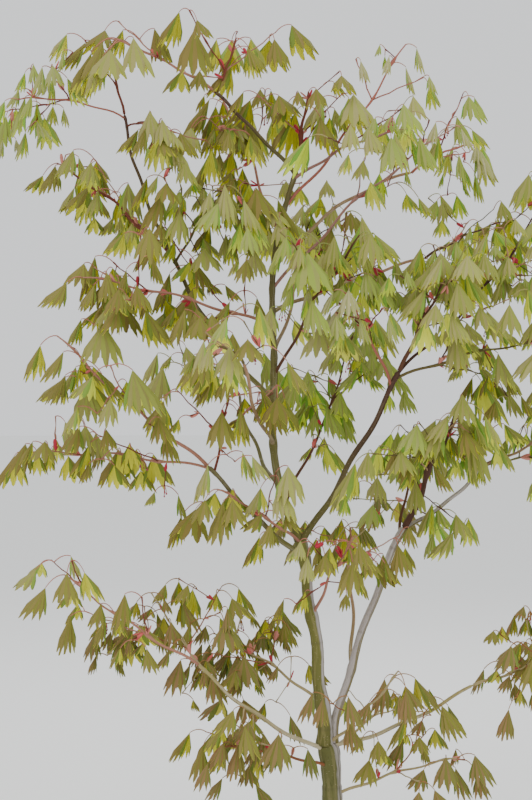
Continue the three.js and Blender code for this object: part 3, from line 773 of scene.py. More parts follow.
@dataclass(frozen=True)
class BarkFinish:
    """Young maple bark: smooth, streaked along the limb, with pores and a scar at each node.

    Its pattern is laid out on the limb as if it were straight, in metres, by the attribute grain. The
    attribute age runs from 0 at the foot to 1 at the tip, scar is 1 on a node's ring, and flank is 1 on
    the side to the front and right, where the bark may have another colour.

    Attributes:
        name: the name of the bark.
        old: its colour at the foot.
        young: its colour at the tip.
        streak: the colour of its streaks.
        scar: the colour of its scars.
        flank: the colour of its flank, where that has one of its own.
        flank_from: how far round the flank starts.
        streaks: how strongly the streaks show.
        scarring: how strongly the scars show.
    """

    name: str
    old: Rgb
    young: Rgb
    streak: Rgb
    scar: Rgb
    flank: Rgb | None = None
    flank_from: float = 0.45
    streaks: float = 0.6
    scarring: float = 0.45

    PORE = (176, 160, 134)
    SHADE = (0.52, 0.5, 0.48, 1.0)
    SPECULAR = 0.3
    ROUGHNESS = (0.58, 0.88)
    BUMP = 0.4
    BUMP_HEIGHT = 0.0007
    # The scale, detail and stretch of each pattern
    CLOUDS = (34.0, 5.0, (1, 1, 0.5))
    STREAKS = (230.0, 4.0, (1, 1, 0.05))
    CRACKS = (620.0, 3.0, (1, 1, 0.16))
    FLANK_EDGE = (60.0, 3.0, (1, 1, 0.2))
    PORE_SCALE = 210.0
    PORE_STRETCH = (0.8, 0.8, 1.5)
    # Where each pattern starts and is full, and how strongly it shows
    AGE_BAND = (0.2, 1.15)
    STREAK_BAND = (0.5, 0.64)
    CLOUD_BAND = (0.56, 0.8, 0.55)
    CRACK_BAND = (0.58, 0.7, 0.7)
    FLANK_BAND = (0.45, 0.57)
    FLANK_STREAK_BAND = (0.42, 0.62, 0.8)
    SCAR_BAND = (0.2, 0.95)
    PORE_RIM = (0.05, 0.2)
    PORE_FACE = 0.8
    PORE_BAND = (0.1, 0.8, 0.8)
    # How much one pattern adds to another
    CLOUDS_ON_AGE = 0.5
    EDGE_ON_FLANK = 0.9
    CRACKS_ON_STREAKS = -0.6
    PORES_ON_RELIEF = 0.5

    def make(self) -> Material:
        """Builds the material, with a colour for each pattern and fine relief.

        Returns:
            The material.
        """
        graph = Graph("bark_" + self.name)
        grain = graph.attribute("grain", "Vector")
        age = graph.attribute("age")
        scar = graph.attribute("scar")
        clouds = graph.noise(grain, *self.CLOUDS)
        streaks = graph.noise(grain, *self.STREAKS)
        cracks = graph.noise(grain, *self.CRACKS)
        pores = self._pores(graph, grain)
        shifted = graph.math("MULTIPLY_ADD", clouds, self.CLOUDS_ON_AGE, age)
        colour = graph.mix(graph.band(shifted, *self.AGE_BAND), linear(self.old), linear(self.young))
        colour = graph.mix(graph.band(streaks, *self.STREAK_BAND, self.streaks), colour, linear(self.streak))
        dark = graph.mix(1.0, colour, self.SHADE, "MULTIPLY")
        colour = graph.mix(graph.band(clouds, *self.CLOUD_BAND), colour, dark)
        colour = graph.mix(graph.band(cracks, *self.CRACK_BAND), colour, dark)
        if self.flank:
            rough_edge = graph.noise(grain, *self.FLANK_EDGE)
            edge = graph.math("MULTIPLY_ADD", rough_edge, self.EDGE_ON_FLANK, graph.attribute("flank"))
            share = graph.band(edge, *(self.flank_from + limit for limit in self.FLANK_BAND))
            pale = graph.mix(graph.band(streaks, *self.FLANK_STREAK_BAND), linear(self.flank), dark)
            colour = graph.mix(share, colour, pale)
        colour = graph.mix(pores, colour, linear(self.PORE))
        colour = graph.mix(graph.band(scar, *self.SCAR_BAND, self.scarring), colour, linear(self.scar))
        height = graph.math("MULTIPLY_ADD", cracks, self.CRACKS_ON_STREAKS, streaks)
        height = graph.math("MULTIPLY_ADD", pores, self.PORES_ON_RELIEF, height)
        bump = graph.node("Bump", Height=height, Strength=self.BUMP, Distance=self.BUMP_HEIGHT)
        smooth, rough = self.ROUGHNESS
        roughness = graph.node("MapRange", Value=streaks, To_Min=smooth, To_Max=rough)
        graph.fill(graph.shader, Base_Color=colour, Roughness=roughness.outputs[0],
                   Specular_IOR_Level=self.SPECULAR, Normal=bump.outputs[0])
        return graph.material

    def _pores(self, graph: Graph, grain: Socket) -> Socket:
        """Makes small pale pores, wider than they are high.

        Args:
            graph: the material's graph.
            grain: the bark's own coordinates.

        Returns:
            How much of a pore shows at each point.
        """
        moved = graph.node("Mapping", Vector=grain, Scale=self.PORE_STRETCH)
        cells = graph.node("TexVoronoi", Vector=moved.outputs[0], Scale=self.PORE_SCALE)
        near = graph.band(cells.outputs["Distance"], *self.PORE_RIM)
        return graph.band(graph.math("SUBTRACT", self.PORE_FACE, near), *self.PORE_BAND)


BARKS = {
    # The trunk's bark is a darker copy of the olive bark: partly its own darker colour, partly painted shade
    # of the crown above it.
    MOSSY: BarkFinish("mossy", (94, 92, 52), (88, 88, 44), (120, 114, 74), (70, 64, 46),
                      flank=(156, 149, 145), flank_from=0.74, scarring=0.22),
    OLIVE: BarkFinish("olive", (92, 91, 43), (106, 105, 48), (130, 122, 75), (76, 69, 47),
                      flank=(160, 152, 148), flank_from=0.78, scarring=0.22),
    GREY: BarkFinish("grey", (168, 158, 154), (156, 146, 142), (186, 178, 174), (98, 88, 80),
                     flank=(112, 102, 52), flank_from=0.62),
    LEADER: BarkFinish("leader", (104, 101, 52), (92, 84, 46), (140, 132, 106), (148, 140, 126)),
    DUSKY: BarkFinish("dusky", (94, 90, 46), (78, 52, 42), (104, 92, 66), (64, 44, 36), streaks=0.4),
    CREAM: BarkFinish("cream", (176, 164, 132), (150, 136, 88), (196, 186, 160), (112, 96, 70)),
    TAWNY: BarkFinish("tawny", (128, 110, 72), (150, 116, 88), (160, 146, 120), (110, 70, 54)),
}


@dataclass(frozen=True)
class LeafTint:
    """The colours of one spray's leaves.

    Attributes:
        name: the name of the tint.
        olive: one half of each fold.
        rib: the other half, greyer along the ribs.
        side: the lobes at either side, in a greener colour that is painted shade, for their look when turned
            away from the light.
        under: the underside, in its own yellow-green, brightened with painted light shining through the leaf.
        sheen: how silky the leaf is.
    """

    name: str
    olive: Rgb
    rib: Rgb
    side: Rgb
    under: Rgb
    sheen: float = 0.0

    def finishes(self) -> tuple[PlainFinish, ...]:
        """The finishes in the order of a leaf's roles."""
        return tuple(PlainFinish(f"{self.name}_{part}", getattr(self, part), sheen=self.sheen)
                     for part in ("olive", "rib", "side", "under"))


# Each tint's side colour is painted shade: greener, for the side lobes turned away from the light.
# Each tint's under colour is partly the underside's own yellow-green and partly painted light shining through
# the leaf.
KHAKIS = (
    LeafTint("khaki", (147, 151, 74), (150, 144, 86), (130, 155, 66), (226, 229, 92)),
    LeafTint("straw", (155, 158, 82), (158, 152, 97), (138, 161, 72), (230, 231, 102)),
    LeafTint("olive", (135, 141, 64), (140, 136, 76), (118, 145, 56), (216, 221, 84)),
)
ROSES = (
    LeafTint("rose", (118, 118, 49), (127, 112, 59), (106, 123, 44), (212, 210, 70)),
    LeafTint("fawn", (126, 125, 54), (132, 121, 65), (113, 129, 49), (216, 215, 78)),
)
GREENS = (
    LeafTint("moss", (140, 156, 66), (144, 148, 78), (112, 155, 54), (216, 231, 84)),
    LeafTint("apple", (148, 163, 74), (152, 157, 88), (124, 165, 62), (220, 235, 96)),
)
AMBERS = (
    LeafTint("amber", (114, 114, 54), (130, 109, 68), (106, 120, 50), (194, 190, 72)),
    LeafTint("bronze", (117, 112, 55), (132, 106, 68), (108, 115, 51), (188, 182, 72)),
    LeafTint("dull", (106, 111, 52), (120, 109, 66), (98, 116, 47), (182, 186, 68)),
)
YOUNGS = (
    LeafTint("young", (146, 155, 74), (153, 154, 92), (124, 154, 62), (212, 220, 84), 0.2),
    LeafTint("silky", (158, 158, 96), (168, 162, 114), (136, 156, 74), (212, 216, 98), 0.3),
)
# How often a spray takes each tint, by the cast of its mass
TINTS = {
    KHAKI: KHAKIS * 3 + ROSES + GREENS,
    ROSE: ROSES * 4 + KHAKIS,
    GREEN: GREENS * 2 + KHAKIS,
    FRESH: GREENS * 2 + YOUNGS + KHAKIS,
    AMBER: AMBERS * 3 + ROSES,
    YOUNG: YOUNGS * 2 + GREENS,
}


def finish_set(kind: str, roughness: float = PlainFinish.roughness,
               **colours: Rgb) -> tuple[PlainFinish, ...]:
    """Plain finishes of one kind, each named for the kind and its colour."""
    return tuple(PlainFinish(f"{kind}_{name}", colour, roughness) for name, colour in colours.items())


# What shoots and stalks wear, by the cast of their mass, and what bud scales and flowers wear
SHOOTS = {
    KHAKI: finish_set("shoot", olive=(104, 92, 56), dark=(82, 56, 46), fawn=(150, 122, 92)),
    ROSE: finish_set("shoot", pink=(160, 112, 94), red=(112, 60, 48)),
    GREEN: finish_set("shoot", olive_green=(118, 110, 62), umber=(96, 64, 48)),
    FRESH: finish_set("shoot", mauve=(148, 108, 98), maroon=(102, 58, 50)),
    AMBER: finish_set("shoot", cream=(158, 142, 104), rust=(130, 82, 54)),
    YOUNG: finish_set("shoot", rosy=(158, 96, 82), plum=(108, 50, 50)),
}
STALKS = {
    KHAKI: finish_set("stalk", green=(148, 142, 82), pink=(172, 124, 100)),
    ROSE: finish_set("stalk", rose=(176, 112, 96)),
    GREEN: finish_set("stalk", lime=(148, 154, 84), fawn=(168, 140, 100)),
    FRESH: finish_set("stalk", coral=(180, 122, 104), straw=(162, 146, 96)),
    AMBER: finish_set("stalk", amber=(150, 110, 66)),
    YOUNG: finish_set("stalk", blush=(184, 134, 112)),
}
SCALES = finish_set("scale", roughness=0.5, crimson=(176, 52, 66), coral=(196, 96, 92),
                    rosy=(206, 132, 120))
FLOWERS = finish_set("flower", roughness=0.5, wine=(134, 44, 60), rose=(170, 70, 86))


@dataclass(frozen=True)
class Tint:
    """The finishes of one spray: leaf, stalk, shoot, bud scale and flower."""

    leaf: tuple[Material, ...]
    stalk: Material
    shoot: Material
    scale: Material
    flower: Material

    @classmethod
    def dealt(cls, cast: Cast, dice: Dice) -> "Tint":
        """Deals out the finishes of the next spray of a mass.

        Args:
            cast: the mass's mixture of leaf colour.
            dice: its dice.

        Returns:
            The spray's finishes.
        """
        leaf = tuple(finish.make() for finish in dice.pick(TINTS[cast]).finishes())
        others = [dice.pick(choices).make() for choices in (STALKS[cast], SHOOTS[cast], SCALES, FLOWERS)]
        return cls(leaf, *others)


@dataclass(frozen=True)
class LeafForm:
    """One form of leaf: a pleated umbrella, half closed, that hangs from its stalk.

    The blade has length one. Its apex is the origin, it hangs along -Z and its middle lobe is in
    front, on +Y. Spokes run out from the apex, by turns along the fold of a lobe and the gap beside
    it.

    Attributes:
        flare: angle off the hanging axis above the gaps and along the lobes, in degrees.
        depth: front to back, as a share of round.
        pleat: how far the folds stand out and the gaps stand in.
        sinus: how far down the gaps between lobes reach.
        sweep: how far round the lobes go to either side of the middle one, in degrees.
        shrink: how much shorter the hindmost lobes are.
        skew: how far the lobes hang to one side.
        lobes: how many lobes it has, an odd number.
        seed: for the small differences between lobes.
    """

    flare: Span
    depth: float = 0.75
    pleat: float = 0.04
    sinus: float = 0.66
    sweep: float = 135.0
    shrink: float = 0.3
    skew: float = 0.0
    lobes: int = 7
    seed: int = 1

    THICKNESS = 0.012
    LENGTH_PLAY = (0.94, 1.08)
    SHRINK_POWER = 1.6
    # The teeth of a lobe's edge from its gap to its tip: how far round towards the gap, and how far down
    TEETH = ((0.8, 0.81), (0.6, 0.82), (0.34, 0.925))
    # The faces' roles: the two halves of a fold, the side lobes in painted shade, and the underside,
    # brightened with painted light through the leaf.
    OLIVE, RIB, SIDE, UNDER = range(4)

    @property
    def spokes(self) -> int:
        """How many spokes the flat fan has, with one on each lobe and each gap, and one left out."""
        return 2 * self.lobes + 2

    @cache
    def build(self) -> Shape:
        """Makes the leaf once: a flat fan in two rings, opened on the stalk's side and hung in pleats.

        Returns:
            The leaf, with its spokes.
        """
        bm = bmesh.new()
        spoke = bm.verts.layers.int.new("spoke")
        bmesh.ops.create_circle(bm, cap_ends=True, cap_tris=True, segments=self.spokes,
                                radius=self.sinus)
        bmesh.ops.delete(bm, geom=[min(bm.verts, key=lambda v: v.co.y)], context="VERTS")
        if sum(face.normal.z for face in bm.faces) < 0:
            bmesh.ops.reverse_faces(bm, faces=bm.faces[:])
        for v in bm.verts:
            v[spoke] = round(self._turn(v.co)) + self.spokes if v.co.length > 0 else -1
        self._grow_lobes(bm, spoke)
        made = bmesh.ops.duplicate(bm, geom=bm.faces[:] + bm.edges[:] + bm.verts[:])["geom"]
        under = [item for item in made if isinstance(item, bmesh.types.BMVert)]
        bmesh.ops.translate(bm, verts=under, vec=(0, 0, -self.THICKNESS))
        for face in bm.faces:
            face.material_index = self._role(face)
        self._hang(bm, spoke)
        bmesh.ops.reverse_faces(bm, faces=[f for f in bm.faces if f.material_index == self.UNDER])
        return Shape.of(bm, "spoke")

    def _turn(self, place: Vector) -> float:
        """How many spokes a place of the flat fan is away from the middle lobe."""
        return math.atan2(place.x, place.y) / (2 * math.pi / self.spokes)

    def _role(self, face: bmesh.types.BMFace) -> int:
        """Finds the finish of a face: the underside with its painted light through the leaf, a lobe at the
        side with its painted shade, or one half of a fold.

        Args:
            face: a face of the flat fan.

        Returns:
            The number of its role.
        """
        middle = face.calc_center_median()
        turn = self._turn(middle)
        # The underside takes its own finish, brightened with painted light shining through the leaf.
        if middle.z < 0:
            return self.UNDER
        # The side lobes, turned away from the light, take a greener finish as painted shade.
        if abs(turn) > self.lobes - 2:
            return self.SIDE
        return self.RIB if math.floor(turn) % 2 else self.OLIVE

    def _grow_lobes(self, bm: bmesh.types.BMesh, spoke: bmesh.types.BMLayerItem) -> None:
        """Extrudes the rim, closes it up to the gaps, and gives each lobe its teeth on both sides.

        Args:
            bm: the fan up to its gaps.
            spoke: the layer that holds the corners' spokes.
        """
        rim = [e for e in bm.edges if e.is_boundary and min(v.co.length for v in e.verts) > 0]
        inner = {v[spoke]: v for e in rim for v in e.verts}
        made = bmesh.ops.extrude_edge_only(bm, edges=rim)["geom"]
        outer = [item for item in made if isinstance(item, bmesh.types.BMVert)]
        bmesh.ops.scale(bm, vec=(1 / self.sinus, 1 / self.sinus, 1), verts=outer)
        gaps = {v: inner[v[spoke]] for v in outer if v[spoke] % 2 == 1}
        bmesh.ops.weld_verts(bm, targetmap=gaps)
        tips = {v for v in outer if v.is_valid}
        sides = [e for e in bm.edges if e.is_boundary and tips & set(e.verts)]
        made = bmesh.ops.bisect_edges(bm, edges=sides, cuts=len(self.TEETH))["geom_split"]
        rows: dict[tuple[int, bool], list[bmesh.types.BMVert]] = {}
        for v in made:
            if isinstance(v, bmesh.types.BMVert):
                turn = self._turn(v.co)
                tip = 2 * round(turn / 2)
                rows.setdefault((tip, turn > tip), []).append(v)
        number = 2 * self.spokes
        for (tip, after), teeth in rows.items():
            teeth.sort(key=lambda v: -abs(self._turn(v.co) - tip))
            for v, (round_to, down) in zip(teeth, self.TEETH):
                turn = tip + (round_to if after else -round_to)
                angle = turn * 2 * math.pi / self.spokes
                v.co = Vector((math.sin(angle), math.cos(angle), 0)) * down
                v[spoke] = number
                number += 1

    def _hang(self, bm: bmesh.types.BMesh, spoke: bmesh.types.BMLayerItem) -> None:
        """Bends the flat fan down into its pleats.

        Args:
            bm: the fan with its lobes.
            spoke: the layer that holds the corners' spokes.
        """
        dice = Dice(self.seed)
        longer = {number: dice.roll(*self.LENGTH_PLAY) for number in range(3 * self.spokes)}
        above, below = (math.radians(angle) for angle in self.flare)
        for v in bm.verts:
            flat = Vector((v.co.x, v.co.y, 0))
            share = flat.length
            turn = self._turn(flat) / self.lobes if share > 0 else 0.0
            angle = turn * math.radians(self.sweep)
            length = (1 - self.shrink * abs(turn) ** self.SHRINK_POWER) * longer.get(v[spoke], 1.0)
            upper = min(share, self.sinus)
            out = upper * math.sin(above) + (share - upper) * math.sin(below)
            down = upper * math.cos(above) + (share - upper) * math.cos(below)
            fold = math.cos(math.pi * turn * self.lobes)
            out += (self.pleat * fold + v.co.z / self.sinus) * share
            side = out * math.sin(angle) * length + self.skew * down * length
            v.co = (side, out * math.cos(angle) * length * self.depth, -down * length)


FULL_LEAVES = (
    LeafForm((29, 11), seed=11),
    LeafForm((33, 14), depth=0.8, skew=0.08, lobes=9, seed=12),
    LeafForm((25, 8), pleat=0.045, depth=0.7, skew=-0.06, sinus=0.62, seed=13),
    LeafForm((38, 20), pleat=0.035, depth=0.82, sinus=0.62, seed=14),
    LeafForm((21, 3), pleat=0.05, sweep=145, lobes=9, seed=15),
    LeafForm((31, 9), depth=0.65, skew=0.12, sinus=0.6, sweep=125, seed=16),
    LeafForm((27, 5), skew=-0.1, lobes=9, sweep=130, seed=17),
)
YOUNG_LEAVES = (
    LeafForm((19, 9), depth=0.8, sinus=0.54, sweep=145, seed=21),
    LeafForm((25, 12), pleat=0.045, skew=0.06, sinus=0.52, sweep=140, seed=22),
    LeafForm((14, 3), pleat=0.03, depth=0.85, sinus=0.56, sweep=150, seed=23),
    LeafForm((30, 14), pleat=0.05, skew=-0.08, sinus=0.5, sweep=130, seed=24),
)
# The forms that a leaf takes, by the cast of its mass. Any other cast has grown leaves only.
FORMS = {YOUNG: YOUNG_LEAVES, FRESH: YOUNG_LEAVES + FULL_LEAVES}


class SmallShapes:
    """The small shapes beside the leaves. Each stands up from the origin, and has length one."""

    # A scale's width at its foot and how much wider it gets, its thickness, and how far it bends out
    SCALE_WIDTH = (0.24, 0.3)
    SCALE_THICKNESS = 0.16
    SCALE_BEND = 0.1
    # A flower's width, how high its narrow foot reaches, and how narrow that is
    FLOWER_WIDTH = 0.7
    FLOWER_NECK = 0.3
    NECK_WIDTH = 0.5

    @classmethod
    @cache
    def scale(cls) -> Shape:
        """Makes a strap-like bud scale that bends outwards.

        Returns:
            The scale.
        """
        bm = bmesh.new()
        bmesh.ops.create_uvsphere(bm, u_segments=6, v_segments=5, radius=0.5)
        bmesh.ops.translate(bm, verts=bm.verts[:], vec=(0, 0, 0.5))
        foot, more = cls.SCALE_WIDTH
        for v in bm.verts:
            v.co.x *= foot + more * v.co.z
            v.co.y = v.co.y * cls.SCALE_THICKNESS + cls.SCALE_BEND * v.co.z**2
        return Shape.of(bm)

    @classmethod
    @cache
    def flower(cls) -> Shape:
        """Makes a closed flower: a plump drop with a narrow foot.

        Returns:
            The flower.
        """
        bm = bmesh.new()
        bmesh.ops.create_icosphere(bm, subdivisions=1, radius=0.5)
        bmesh.ops.translate(bm, verts=bm.verts[:], vec=(0, 0, 0.5))
        foot = [v for v in bm.verts if v.co.z < cls.FLOWER_NECK]
        for verts, width in ((foot, cls.NECK_WIDTH), (bm.verts[:], cls.FLOWER_WIDTH)):
            bmesh.ops.scale(bm, verts=verts, vec=(width, width, 1.0))
        return Shape.of(bm)


@dataclass
class Leaf:
    """A leaf that a shoot bears.

    Attributes:
        place: its node's place on the shoot.
        node: its node.
        length: its length with the stalk.
        tries: the ways it may hang, each a bearing and how far it spreads.
    """

    place: float
    node: Array
    length: float
    tries: list[Span]


class Shoot:
    """A thin limb of a mass, with the leaves that grow straight on it."""

    def __init__(self, foot: Array, tip: Array, radii: Span, bow: Array = STRAIGHT,
                 parent: "Shoot | None" = None, seat: float = 0.0) -> None:
        """Lays out the shoot.

        Args:
            foot: where it starts on its parent's middle line.
            tip: where it ends.
            radii: its radius at both ends.
            bow: how far its middle stands off the straight line.
            parent: the shoot that it grows on.
            seat: its place on the parent.
        """
        self.parent = parent
        self.seat = seat
        self.grown = 0.0
        self.curve = LimbCurve(foot, tip, bow, SHOOT_WEAVE)
        self.radii = radii
        self.length = self.curve.length
        self.leaves: list[Leaf] = []
        self.nodes: list[float] = []

    def point(self, place: float) -> Array:
        """The point at a place from 0 at the foot to 1 at the tip."""
        return self.curve.points(place)[0]

    def direction(self, place: float) -> Array:
        """The direction at a place."""
        return self.curve.tangents(place)[0]

    def radius_at(self, places: Array) -> Array:
        """Finds the radius: an even taper with a swelling at each node.

        Args:
            places: from 0 at the foot to 1 at the tip.

        Returns:
            The radius at each place.
        """
        first, last = self.radii
        radius = first + (last - first) * places
        for node in self.nodes:
            near = (places - node) * self.length / (NODE_REACH * first)
            radius = radius + NODE_SWELL * radius * np.exp(-near**2)
        return radius

    def side(self, place: float, turn: float) -> Array:
        """The direction square to the shoot at a place, turned about it."""
        aside, across = square_to(self.direction(place))
        return aside * math.cos(turn) + across * math.sin(turn)

    def pair(self, place: float, turn: float) -> tuple[Array, Array]:
        """A pair of opposite directions at a node, turned about the shoot."""
        out = self.side(place, turn)
        return out, -out

    def branch(self, place: float, line: Array, length: float, radii: Span) -> "Shoot":
        """A side shoot that sets out along a line from a place."""
        foot = self.point(place)
        return Shoot(foot, foot + unit(line) * length, radii, parent=self, seat=place)

    def bear(self, place: float, out: Array, dice: Dice, size: float) -> None:
        """Adds a leaf that leans out to one side of the shoot.

        Args:
            place: its node's place.
            out: the side it leans to.
            dice: the mass's dice.
            size: its size, as a share of a grown leaf.
        """
        lean = out + self.direction(place) * LEAF_ONWARD
        upright = math.hypot(lean[0], lean[1]) < UPRIGHT_LEAN
        bearing = dice.angle() if upright else math.atan2(lean[1], lean[0])
        length = LEAF_LENGTH * size * dice.roll(*LEAF_SIZES)
        tries = []
        for attempt in range(LEAF_TRIES):
            turn = dice.roll(-LEAF_TURN_PLAY, LEAF_TURN_PLAY) * (1 + attempt)
            tries.append((bearing + turn, dice.roll(*LEAF_SPREAD)))
        self.leaves.append(Leaf(place, self.point(place), length, tries))

    def bear_pair(self, place: float, turn: float, dice: Dice, size: float) -> None:
        """Adds a pair of opposite leaves at a node.

        Args:
            place: the node's place.
            turn: how far the pair is turned about the shoot.
            dice: the mass's dice.
            size: the leaves' size, as a share of a grown leaf.
        """
        for out in self.pair(place, turn):
            self.nodes.append(place)
            self.bear(place, out, dice, size)


class Mass:
    """One mass of foliage: its stem and twigs grow by the rule of the solids, and spurs carry it on."""

    def __init__(self, row: MassRow, seed: int, foot: Array, radius: float) -> None:
        """Grows the mass.

        Args:
            row: the mass's row.
            seed: the place of its row, from 1.
            foot: where its stem is seated.
            radius: the radius of its stem there.
        """
        self.row = row
        self.dice = Dice(seed)
        self.fine = Dice(seed + FINE_SEED)
        self.size = YOUNG_LEAF if row.young else 1.0
        self.stem = Shoot(foot, np.array(row.tip), (radius, STEM_END), UP * row.bow)
        self.middle = self.stem.point((1 + row.bare) / 2) - UP * SPACE_DROP
        self.twigs: list[Shoot] = []
        self.spurs: list[Shoot] = []
        self._grow()
        self._grow_spurs()

    def _grow(self) -> None:
        """Grows pairs of twigs and pairs of leaves by turns, with a pair and a last leaf at the tip."""
        stem, dice, leafy = self.stem, self.dice, 1 - self.row.bare
        nodes = max(2, math.floor(stem.length * leafy / NODE_PITCH + 0.5))
        start = dice.roll(-STEM_TURN, STEM_TURN)
        for node in range(nodes):
            place = self.row.bare + leafy * (node + FIRST_NODE) / nodes
            turn = start + node * math.pi / 2 + dice.roll(-TURN_PLAY, TURN_PLAY)
            if node % 2 == 1:
                stem.bear_pair(place, turn, dice, self.size)
                continue
            for out in stem.pair(place, turn):
                stem.nodes.append(place)
                self.twigs.append(self._twig(place, out))
        stem.bear_pair(LAST_PAIR, start + LAST_TURN, dice, self.size)
        stem.bear(TIP_PLACE, stem.direction(TIP_PLACE), dice, self.size)

    def _twig(self, place: float, out: Array) -> Shoot:
        """Grows a twig from a node of the stem: it sets out to its side and rises a little.

        Args:
            place: the node's place.
            out: the side it sets out to.

        Returns:
            The twig with its leaves.
        """
        dice = self.dice
        length = max(TWIG_MIN, TWIG_LENGTH * (1 - TWIG_SHRINK * place) * dice.roll(*TWIG_PLAY))
        line = out * TWIG_OUT + self.stem.direction(place) * TWIG_ONWARD + UP * TWIG_RISE
        twig = self.stem.branch(place, line, length, TWIG_RADII)
        nodes = max(1, math.floor(twig.length / LEAF_PITCH + 0.5))
        start = dice.roll(-TWIG_TURN, TWIG_TURN)
        for node in range(1, nodes + 1):
            twig.bear_pair(LAST_PAIR * node / nodes, start + node * math.pi / 2, dice, self.size)
        twig.bear(TIP_PLACE, twig.direction(TIP_PLACE), dice, self.size)
        return twig

    def _grow_spurs(self) -> None:
        """Grows spurs at closer nodes, that rise or droop, each with a pair of leaves at its tip."""
        dice = self.fine
        for parent in (self.stem, *self.twigs):
            start = STEM_SPURS_FROM * self.row.bare if parent is self.stem else TWIG_SPURS_FROM
            count = max(1, round(parent.length * (1 - start) / SPUR_PITCH))
            for number in range(count):
                place = start + (1 - start) * (number + dice.roll(*SPUR_PLAY)) / count
                for out in parent.pair(place, dice.angle()):
                    self._grow_spur(parent, place, out)

    def _grow_spur(self, parent: Shoot, place: float, out: Array) -> None:
        """Grows a spur, or leaves its bud asleep.

        Args:
            parent: the shoot that it grows on.
            place: its place there.
            out: the side it sets out to.
        """
        dice = self.fine
        length = dice.roll(*SPUR_LENGTH)
        size = self.size * dice.roll(*SPUR_LEAF)
        rise = UP * dice.roll(*SPUR_RISE)
        turn = dice.angle()
        if dice.roll(0, 1) > self.row.fullness.growing:
            return
        line = out * TWIG_OUT + parent.direction(place) * SPUR_ONWARD + rise
        spur = parent.branch(place, line, length, SPUR_RADII)
        if length > LONG_SPUR:
            spur.bear_pair(0.5, turn + math.pi / 2, dice, size)
        spur.bear_pair(1.0, turn, dice, size)
        self.spurs.append(spur)

    def holds(self, points: Array) -> bool:
        """Whether all the points lie in the mass's own space."""
        reach = self.row.reach
        shares = (points - self.middle) / (reach, reach, reach * SPACE_HEIGHT)
        return bool((np.sum(shares**2, axis=1) <= 1).all())


class Room:
    """The space round the tree: it keeps leaves off the limbs and off each other."""

    def __init__(self, low: Array, high: Array, wood: Sequence[LimbCurve]) -> None:
        """Sorts the points of the wood.

        Args:
            low: the lowest corner of the box that the crown must keep to.
            high: its highest corner.
            wood: the limbs and stems that leaves keep off.
        """
        self.low = low - BOX_PLAY
        self.high = high + BOX_PLAY
        self.blades: list[Array] = []
        steps = [max(2, math.ceil(curve.length / WOOD_STEP)) for curve in wood]
        points = np.concatenate([c.points(np.linspace(0, 1, count)) for c, count in zip(wood, steps)])
        self.tree = kdtree.KDTree(len(points))
        for index, point in enumerate(points):
            self.tree.insert(point, index)
        self.tree.balance()

    def inside(self, points: Array) -> bool:
        """Whether all the points lie in the tree's own box."""
        return bool((points >= self.low).all() and (points <= self.high).all())

    def takes(self, apex: Array, bottom: Array) -> bool:
        """Gives a blade its place if it is free there.

        Args:
            apex: the blade's top.
            bottom: the lowest point of its axis.

        Returns:
            Whether the blade has room.
        """
        upper, lower = BLADE_MIDDLE
        middle = apex * upper + bottom * lower
        length = float(np.linalg.norm(bottom - apex))
        if min(self.tree.find(point)[2] for point in (middle, bottom)) < WOOD_ROOM * length:
            return False
        if self.blades:
            gaps = np.linalg.norm(np.array(self.blades) - middle, axis=1)
            if gaps.min() < BLADE_ROOM * length:
                return False
        self.blades.append(middle)
        return True



